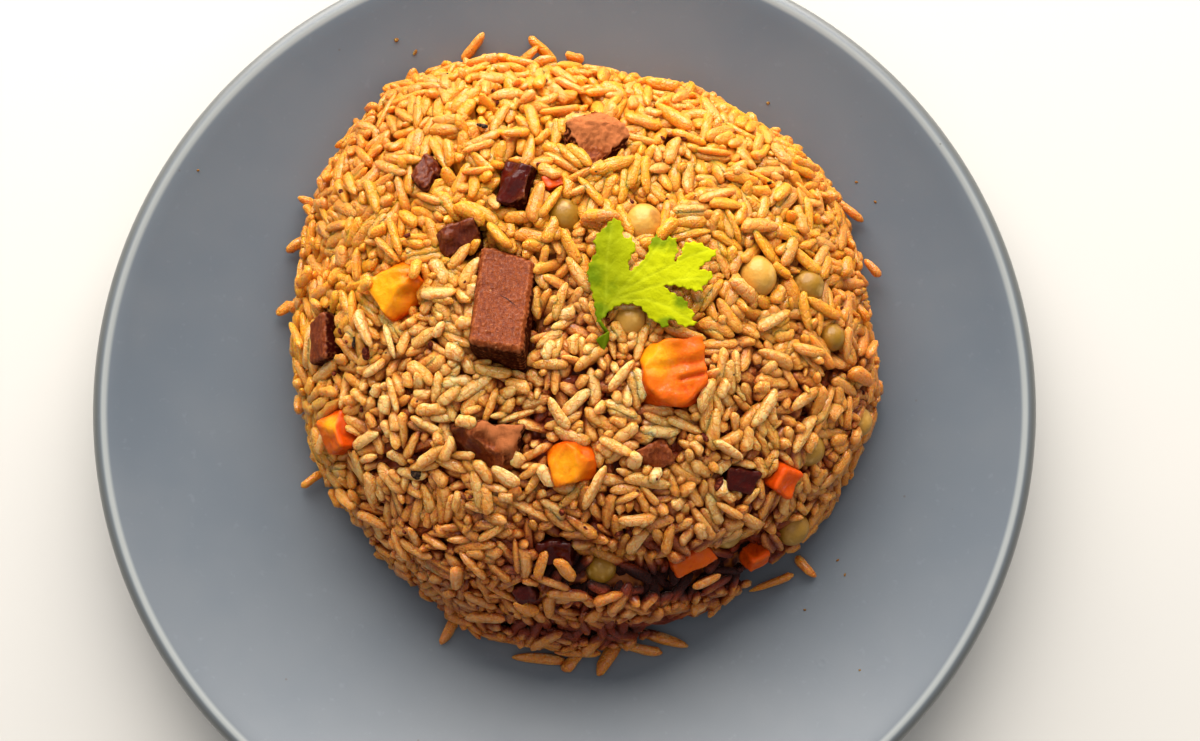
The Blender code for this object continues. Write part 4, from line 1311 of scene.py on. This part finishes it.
def peaFinish():
    f = Finish("peaSkin", IOR=1.4, Specular_IOR_Level=0.35, Coat_Roughness=0.22)
    green, pole, under = f.attributes("green", "pole", "under")
    colour = f.paint(pea["skin"],
                     (pea["olive"], (green * 0.9 + f.noise(4, 2) * 0.4).ramp(0.3, 1.1)),
                     (pea["pale"], f.noise(3.0, 2, 0.6).ramp(0.55, 0.75) * 0.5),
                     (pea["brown"], pole.ramp(0.85, 0.97) * 0.6),
                     # painted shade: browner underneath, over patchy brown spots
                     (pea["brown"], f.noise(1.1, 2).ramp(0.62, 0.8) * 0.35 + under * 0.6))
    height = f.noise(0.7, 2) + f.noise(2.5, 1)
    return f.give(Base_Color=colour, Roughness=0.32 + f.noise(2, 1) * 0.15,
                  Coat_Weight=0.15 + f.noise(3, 1) * 0.15, Normal=f.bump(height, 0.5, 0.25))


def makePeas():
    skin = peaFinish()
    for seed, node in enumerate(diceNodes):
        if not node.name.startswith("pea"):
            continue
        low, high = (Vector(corner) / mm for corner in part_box(node.name))
        mesh = bpy.data.meshes.new(node.name + "_cooked")
        rework(mesh, lambda body: bmesh.ops.create_uvsphere(
            body, u_segments=pea["around"], v_segments=pea["up"], radius=1))
        unit = pointsOf(mesh) * mm
        size = np.array((high - low) / 2)
        first, second = (seed * turn for turn in pea["turns"])
        turn = np.array(Matrix.Rotation(first, 3, "X") @ Matrix.Rotation(second, 3, "Y"))
        scar = unit[:, 2]
        rough = pea["dent"] * noiseAt(unit, pea["dentSize"], seed)
        rough += pea["wrinkle"] * noiseAt(unit, pea["wrinkleSize"], seed)
        swell = 1 + rough / size.mean() - pea["scar"] * np.exp(-((1 - scar) / pea["scarReach"]))
        reach = size - pea["dent"] * pea["inset"]
        points = (unit * swell[:, None]) @ turn.T * reach + np.array((low + high) / 2)
        setPoints(mesh, points)
        put(mesh, "green", np.full(len(points), pea["green"].get(node.name, pea["otherGreen"])))
        put(mesh, "pole", np.clip(scar, 0, 1))
        # painted shade: under marks the side turned in towards the rice
        facing = (normalsOf(mesh) * heapDistance(points)[1]).sum(1)
        put(mesh, "under", np.clip(pea["underFrom"] - facing, 0, 1))
        settle(bpy.data.objects.new(mesh.name, mesh), skin, [node.name])


makePeas()
print("peas made")


leaf = {
    "stalk": (8.2, 11.4), "lift": 2.25, "tipLift": 1.0, "reach": 24.0, "thickness": 0.3, "grid": 0.34,
    "edgeStep": 1.1, "rowStep": 0.87, "edgeGap": 0.6,    # shares of the grid
    "tooth": 0.46, "toothLength": 1.8, "ripples": ((0.4, 5.0, 3.0), (0.14, 1.6, 5.0)), "veinSink": 0.05,
    "outline": (
        (-1.2, 1.9), (-1.5, 4.1), (-1.7, 5.7), (-2.3, 8.6), (-3.2, 12.0), (-2.9, 14.1), (-1.8, 16.2),
        (-1.2, 17.1), (-1.9, 19.0), (-1.1, 20.9), (0.4, 22.0), (1.3, 23.3), (2.4, 24.3), (3.9, 23.9),
        (4.7, 22.4), (4.8, 19.9), (6.2, 20.4), (7.0, 19.1), (7.5, 17.6), (6.6, 16.2), (5.9, 14.6),
        (5.9, 13.0), (8.1, 14.8), (9.4, 16.5), (9.9, 18.6), (10.6, 20.2), (11.7, 21.0), (12.8, 19.4),
        (14.3, 20.5), (16.1, 19.9), (15.8, 18.4), (16.4, 17.5), (15.8, 16.0), (15.1, 15.0), (16.5, 16.6),
        (17.0, 18.7), (17.9, 19.3), (19.6, 19.4), (21.2, 19.1), (22.6, 18.0), (24.5, 17.8), (24.0, 16.2),
        (22.5, 14.9), (20.6, 13.6), (22.9, 13.3), (23.7, 12.0), (22.5, 10.5), (21.4, 9.6), (21.4, 8.6),
        (19.8, 8.4), (17.7, 9.0), (15.4, 9.6), (13.2, 9.6), (14.8, 8.6), (16.7, 7.6), (18.0, 6.7),
        (18.3, 5.4), (19.8, 4.1), (19.1, 3.0), (20.4, 1.9), (19.2, 1.3), (17.8, 0.9), (16.4, 1.2),
        (15.2, 2.2), (14.1, 2.6), (14.3, 1.5), (13.5, 0.6), (12.4, 0.9), (11.4, 2.0), (10.4, 2.3),
        (9.4, 3.3), (8.8, 4.2), (8.0, 5.1), (6.5, 5.6), (4.9, 5.6), (3.5, 5.3), (2.0, 4.3), (0.7, 2.9),
        (-0.2, 1.5),
    ),
    "shaded": (    # darker green patches: x, y, reach, strength
        (12.0, 20.2, 3.4, 1.0), (15.0, 18.6, 2.3, 0.7), (-2.4, 11.5, 4.2, 0.8), (-1.4, 16.5, 3.1, 0.5),
        (17.0, 6.6, 2.6, 1.0), (13.4, 1.6, 2.3, 1.0), (-0.8, 4.0, 2.9, 1.0), (1.2, 9.0, 3.9, 0.5),
        (1.0, 22.0, 2.1, 0.5),
    ),
    "veins": (    # from the stalk out along each lobe
        ((0, 1), (1.0, 8), (1.0, 15), (2.2, 23.2)), ((0.4, 4), (5, 10), (10, 15.5), (12.7, 19.8)),
        ((4, 8.6), (12, 12.8), (18, 16), (23, 17.8)), ((3, 7), (10, 9.4), (16, 11.2), (22.6, 11.6)),
        ((3, 6.6), (9, 7), (14, 5.4), (18.8, 2.4)),
    ),
    "veinWidth": 0.32, "sideWidth": 0.2, "sideVein": 3.2, "sideGap": 2.3, "sideTurn": 42,
    "sideStrength": 0.55, "sideFrom": 3.0, "sideUntil": 1.0,
    "green": rgb(136, 142, 2), "bright": rgb(180, 182, 6), "shadow": rgb(78, 104, 2),
    "vein": rgb(180, 186, 40),
    "stem": ((-0.5, 2.4, 2.3), (0.4, 1.0, 1.7), (1.2, 0.2, 0.6), (1.5, -1.0, -1.2)), "stemRadius": 0.42,
    "stemRings": 14, "stemSides": 8, "stemVein": 0.3,
    "frond": (
        (1.5, 0.4), (1.8, -1.0), (1.2, -2.6), (0.3, -4.0), (-0.3, -2.8), (-1.3, -1.6), (-0.4, -0.9),
        (0.6, -0.4),
    ),
    "frondTooth": 0.1, "frondLift": 1.9, "frondDrop": 0.5, "frondVein": (1.0, 0.2, 0.25), "frondShade": 0.8,
}


def smoothRing(corners, passes, cut=0.2):    # corners cut again and again
    ring = np.array(corners, float)
    for _ in range(passes):
        after = np.roll(ring, -1, axis=0)
        ring = np.stack([ring * (1 - cut) + after * cut, ring * cut + after * (1 - cut)], 1).reshape(-1, 2)
    return ring


def evenRing(ring, step):
    closed = np.vstack([ring, ring[:1]])
    run = runOf(closed)
    marks = np.arange(0, run[-1], run[-1] / round(run[-1] / step))
    return np.stack([np.interp(marks, run, closed[:, k]) for k in (0, 1)], 1), marks


def veinLines():    # main veins and the side veins that leave them, each with its strength
    lines = []
    for row in leaf["veins"]:
        row = np.array(row, float)
        run = runOf(row)
        lines += [(a, b, 1.0) for a, b in zip(row, row[1:])]

        def at(mark):
            return np.array([np.interp(mark, run, row[:, i]) for i in (0, 1)])
        for k, mark in enumerate(np.arange(leaf["sideFrom"], run[-1] - leaf["sideUntil"], leaf["sideGap"])):
            start, ahead = at(mark), at(mark + 0.5) - at(mark)
            turn = math.radians(leaf["sideTurn"]) * (1 if k % 2 else -1) + math.atan2(ahead[1], ahead[0])
            way = np.array([math.cos(turn), math.sin(turn)])
            lines.append((start, start + leaf["sideVein"] * way, leaf["sideStrength"]))
    return lines


def veinStrength(points):
    strength = np.zeros(len(points))
    for a, b, force in veinLines():
        width = leaf["veinWidth"] if force == 1.0 else leaf["sideWidth"]
        strength = np.maximum(strength, force * fade(fromLine(points, a, b), width))
    return strength


def blade(corners, passes, grid, tooth):    # flat sheet of small triangles inside an outline
    ring, marks = evenRing(smoothRing(corners, passes), grid * leaf["edgeStep"])
    before, after = np.roll(ring, 1, axis=0), np.roll(ring, -1, axis=0)
    side = (after - before)[:, ::-1] * (1, -1)
    side /= np.linalg.norm(side, axis=1, keepdims=True)
    ring = ring + side * (tooth * (1 - np.abs(marks / leaf["toothLength"] % 1 * 2 - 1)))[:, None]
    low, high = ring.min(0), ring.max(0)
    spots = []
    for k, y in enumerate(np.arange(low[1], high[1], grid * leaf["rowStep"])):
        spots += [(x + grid / 2 * (k % 2), y) for x in np.arange(low[0], high[0], grid)]
    spots = np.array(spots)
    gap = np.hypot(*(spots[:, None] - ring[None]).transpose(2, 0, 1)).min(1)
    spots = spots[gap > grid * leaf["edgeGap"]]
    count = len(ring)
    flat = [Vector(p) for p in ring] + [Vector(p) for p in spots]
    border = [(i, (i + 1) % count) for i in range(count)]
    corners, _, faces, *_ = geometry.delaunay_2d_cdt(flat, border, [list(range(count))], 1, 1e-6)
    return np.array([tuple(c) for c in corners]), [tuple(f) for f in faces]


def stemRings():
    path = np.array(leaf["stem"])
    rings, sides = leaf["stemRings"], leaf["stemSides"]
    marks = np.linspace(0, len(path) - 1, rings)
    line = np.stack([np.interp(marks, range(len(path)), path[:, k]) for k in range(3)], 1)
    points = []
    for k, spot in enumerate(line):
        ahead = Vector(line[min(k + 1, rings - 1)] - line[max(k - 1, 0)]).normalized()
        across = ahead.cross(Vector((1, 0, 0))).normalized()
        third = ahead.cross(across)
        for t in 2 * math.pi * np.arange(sides) / sides:
            side = np.array(across * math.cos(t) + third * math.sin(t))
            points.append(spot + leaf["stemRadius"] * side)
    faces = ringFaces(rings, sides) + endFaces(rings, sides, len(points), len(points) + 1)
    return np.array(points + [line[0], line[-1]]), faces


def herbFinish():
    f = Finish("herbLeaf", IOR=1.35, Specular_IOR_Level=0.08)
    vein, reach, shaded = f.attributes("vein", "reach", "shaded")
    colour = f.paint(leaf["green"],
                     (leaf["bright"], (reach * 1.3 + f.noise(7, 2) * 0.4).ramp(0.25, 0.95)),
                     (leaf["shadow"], (f.noise(2.4, 3, 0.6) * 0.5 + shaded * 0.7).ramp(0.4, 0.85) * 0.8),
                     (leaf["vein"], vein * 0.2))
    height = f.noise(0.5, 2, 0.6) * 0.6 + f.noise(1.8, 2) - vein * 0.2
    return f.give(Base_Color=colour, Roughness=0.6, Normal=f.bump(height, 0.6, 0.25))


def shadedShare(points):    # how deep the green is at places of the blade
    share = np.zeros(len(points))
    for x, y, reach, strength in leaf["shaded"]:
        share = np.maximum(share, strength * fade(np.hypot(points[:, 0] - x, points[:, 1] - y), reach))
    return share


def tone(mesh, vein, reach, shaded):
    for name, values in (("vein", vein), ("reach", reach), ("shaded", shaded)):
        put(mesh, name, np.broadcast_to(values, len(mesh.vertices)))


def makeBlade(stalk):
    flat, faces = blade(leaf["outline"], 0, leaf["grid"], leaf["tooth"])
    vein = veinStrength(flat)
    reach = np.hypot(*flat.T) / leaf["reach"]
    level = domeLevel(*(flat + stalk).T) + leaf["lift"] + leaf["tipLift"] * reach ** 2
    spots = np.column_stack([flat, np.zeros(len(flat))])
    for height, size, shift in leaf["ripples"]:
        level += height * noiseAt(spots, size, shift)
    level -= leaf["veinSink"] * vein
    sheet = meshFrom("leaf_blade", np.column_stack([flat + stalk, level]), faces)
    tone(sheet.data, vein, np.clip(flat[:, 0] / leaf["reach"], 0, 1), shadedShare(flat))
    return sheet


def makeFrond(stalk):    # the small lobe that hangs by the stalk
    flat, faces = blade(leaf["frond"], 1, leaf["grid"], leaf["frondTooth"])
    level = domeLevel(*(flat + stalk).T) + leaf["frondLift"]
    level -= leaf["frondDrop"] * np.clip(-flat[:, 1], 0, None)
    frond = meshFrom("leaf_frond", np.column_stack([flat + stalk, level]), faces)
    start, lean, width = leaf["frondVein"]
    vein = fade(flat[:, 0] - start - flat[:, 1] * lean, width)
    tone(frond.data, vein, 0.0, leaf["frondShade"])
    return frond


def makeLeaf():
    stalk = np.array(leaf["stalk"])
    parts = [makeBlade(stalk), makeFrond(stalk)]
    for part in parts:
        scene.collection.objects.link(part)
        thick = part.modifiers.new("body", "SOLIDIFY")
        thick.thickness = leaf["thickness"] * mm
        thick.offset = 0
        part.data = evaluated(part)
        part.modifiers.clear()
    tube, tubeFaces = stemRings()
    foot = [*stalk, float(domeLevel(stalk[:1], stalk[1:])[0])]
    parts.append(meshFrom("leaf_stem", tube + foot, tubeFaces))
    tone(parts[-1].data, leaf["stemVein"], 0.0, 1.0)
    mesh = bpy.data.meshes.new("herb_leaf")

    def join(body):
        for part in parts:
            body.from_mesh(part.data)
        faceOut(body)
    rework(mesh, join)
    for part in parts:
        bpy.data.objects.remove(part)
    settle(bpy.data.objects.new("herb_leaf", mesh), herbFinish(), ["leaf"])


makeLeaf()
print("leaf made")


# crumbs: x, y, length, width, azimuth, in millimetres and degrees
crumbs = {
    "seed": 5,
    "pepper": (
        (-17.3, 57.2, 3.4, 1.0, 75), (-4.9, 57.8, 1.0, 0.8, 0), (-31.3, -17.0, 3.6, 2.4, 80),
        (-44.6, 11.8, 4.6, 1.1, 80), (-49.3, 30.3, 0.8, 0.6, 20), (-39.0, 27.7, 0.7, 0.6, 0),
        (44.5, 45.6, 1.4, 0.9, 40), (38.2, -20.6, 1.6, 1.2, 0), (8.8, 32.7, 0.9, 0.5, 60),
        (8.1, 31.8, 0.7, 0.5, 10), (36.0, 3.0, 0.6, 0.5, 0),
    ),
    "beef": (
        (0.2, 53.6, 5.4, 0.9, -45), (-25.9, 32.8, 2.4, 1.6, 30), (30.0, -10.0, 2.6, 1.5, 10),
        (-27.9, 9.3, 2.2, 1.4, 60), (-14.3, 63.2, 1.4, 1.0, 0), (42.2, -13.4, 2.8, 1.6, 40),
        (-33.0, 33.0, 1.6, 1.2, 0), (26.0, 55.0, 1.8, 1.1, 20), (-42.0, 8.3, 3.0, 2.0, 30),
        (-5.0, 48.0, 1.5, 1.2, 0), (33.0, -19.5, 3.4, 1.8, -10), (12.0, -30.0, 2.2, 1.3, 0),
    ),
    "onPlate": (
        (-38.3, 83.1, 1.2, 0.9, 20), (-34.1, 80.6, 1.5, 0.8, 60), (46.1, 69.2, 0.9, 0.7, 0),
        (-82.4, 52.7, 0.7, 0.5, 0), (61.3, -34.4, 0.9, 0.5, 30), (62.8, -37.7, 0.8, 0.5, 70),
        (53.8, -45.5, 0.7, 0.5, 0), (65.5, -58.9, 0.6, 0.4, 0), (70.2, 46.4, 0.8, 0.5, -40),
        (66.0, 51.0, 0.9, 0.5, 0),
    ),
    "morePepper": (40, (0.35, 0.8), 0.6), "moreBeef": (46, (0.7, 1.8), 0.5),    # count, lengths, least width
    "widest": 0.9, "steepest": 0.35, "probe": 56, "rough": 0.28, "roughSize": 1.6, "pepperSink": 0.15,
    "beefSink": 0.35, "dishRise": 0.4, "flat": 0.8, "dishFlat": 0.5, "black": rgb(30, 20, 16),
    "husk": rgb(84, 62, 44), "beefDark": rgb(74, 22, 12), "beefLight": rgb(150, 70, 40),
    "fried": rgb(122, 74, 28), "oil": rgb(170, 140, 70),
}


def crumbMesh(body, spot, up, length, width, turn, seed, flat):
    stand = up.to_track_quat("Z", "Y").to_matrix().to_4x4()
    pose = Matrix.Translation(spot) @ stand @ Matrix.Rotation(turn, 4, "Z")
    half = Vector((length / 2, width / 2, width / 2 * flat))
    offset = Vector((seed * 1.7, seed * 0.3, 0))
    for corner in bmesh.ops.create_icosphere(body, subdivisions=2, radius=1)["verts"]:
        corner.co *= 1 + crumbs["rough"] * noise.noise(corner.co * crumbs["roughSize"] + offset)
        corner.co = pose @ (corner.co * half)


def onHeap(tree, sink):    # how a crumb lands on the rice; it gives None beside the heap
    def land(x, y, width):
        spot, up = dropOn(tree, x, y)
        return spot and (spot + up * width * (0.5 * crumbs["flat"] - sink), up)
    return land


def onDish(x, y, width):
    level = float(dishLevel(math.hypot(x, y)))
    return Vector((x, y, level + width * crumbs["dishFlat"] * crumbs["dishRise"])), Vector((0, 0, 1))


def dropCrumbs(name, rows, landing, first, second, flat):
    mesh = bpy.data.meshes.new(name)

    def dropEach(body):
        for seed, (x, y, length, width, azimuth) in enumerate(rows):
            landed = landing(x, y, width)
            if landed:
                crumbMesh(body, *landed, length, width, math.radians(azimuth), seed, flat)
    rework(mesh, dropEach)
    setPoints(mesh, pointsOf(mesh) * mm)
    f = Finish(name + "Skin", IOR=1.45, Specular_IOR_Level=0.1)
    colour = f.paint(first, (second, f.noise(0.6, 2, 0.6).ramp(0.45, 0.7)))
    f.give(Base_Color=colour, Roughness=0.5 + f.noise(0.8, 1) * 0.2,
           Normal=f.bump(f.noise(0.4, 2), 0.6, 0.2))
    settle(bpy.data.objects.new(name, mesh), f.material)


def scatterRows(rng, count, sizes, slim):
    azimuth, climb = scatter(rng, count)
    spots = heapPoint(azimuth, climb)
    flatEnough = heapDistance(spots)[1][:, 2] > crumbs["steepest"]
    length = rng.uniform(*sizes, count)
    width = length * rng.uniform(slim, crumbs["widest"], count)
    rows = [(p[0], p[1], a, b, t) for p, a, b, t in zip(spots, length, width, rng.uniform(0, 180, count))]
    return [row for row, ok in zip(rows, flatEnough) if ok and not insideDice((*row[:2], crumbs["probe"]))]


def makeCrumbs():
    rng = np.random.default_rng(crumbs["seed"])
    tree = treeOf([outerRice, brokenRice])
    pepper = list(crumbs["pepper"]) + scatterRows(rng, *crumbs["morePepper"])
    dropCrumbs("pepper_specks", pepper, onHeap(tree, crumbs["pepperSink"]),
               crumbs["black"], crumbs["husk"], crumbs["flat"])
    beef = list(crumbs["beef"]) + scatterRows(rng, *crumbs["moreBeef"])
    dropCrumbs("beef_crumbs", beef, onHeap(tree, crumbs["beefSink"]),
               crumbs["beefDark"], crumbs["beefLight"], crumbs["flat"])
    dropCrumbs("dish_crumbs", crumbs["onPlate"], onDish,
               crumbs["fried"], crumbs["oil"], crumbs["dishFlat"])


makeCrumbs()
print("crumbs dropped")
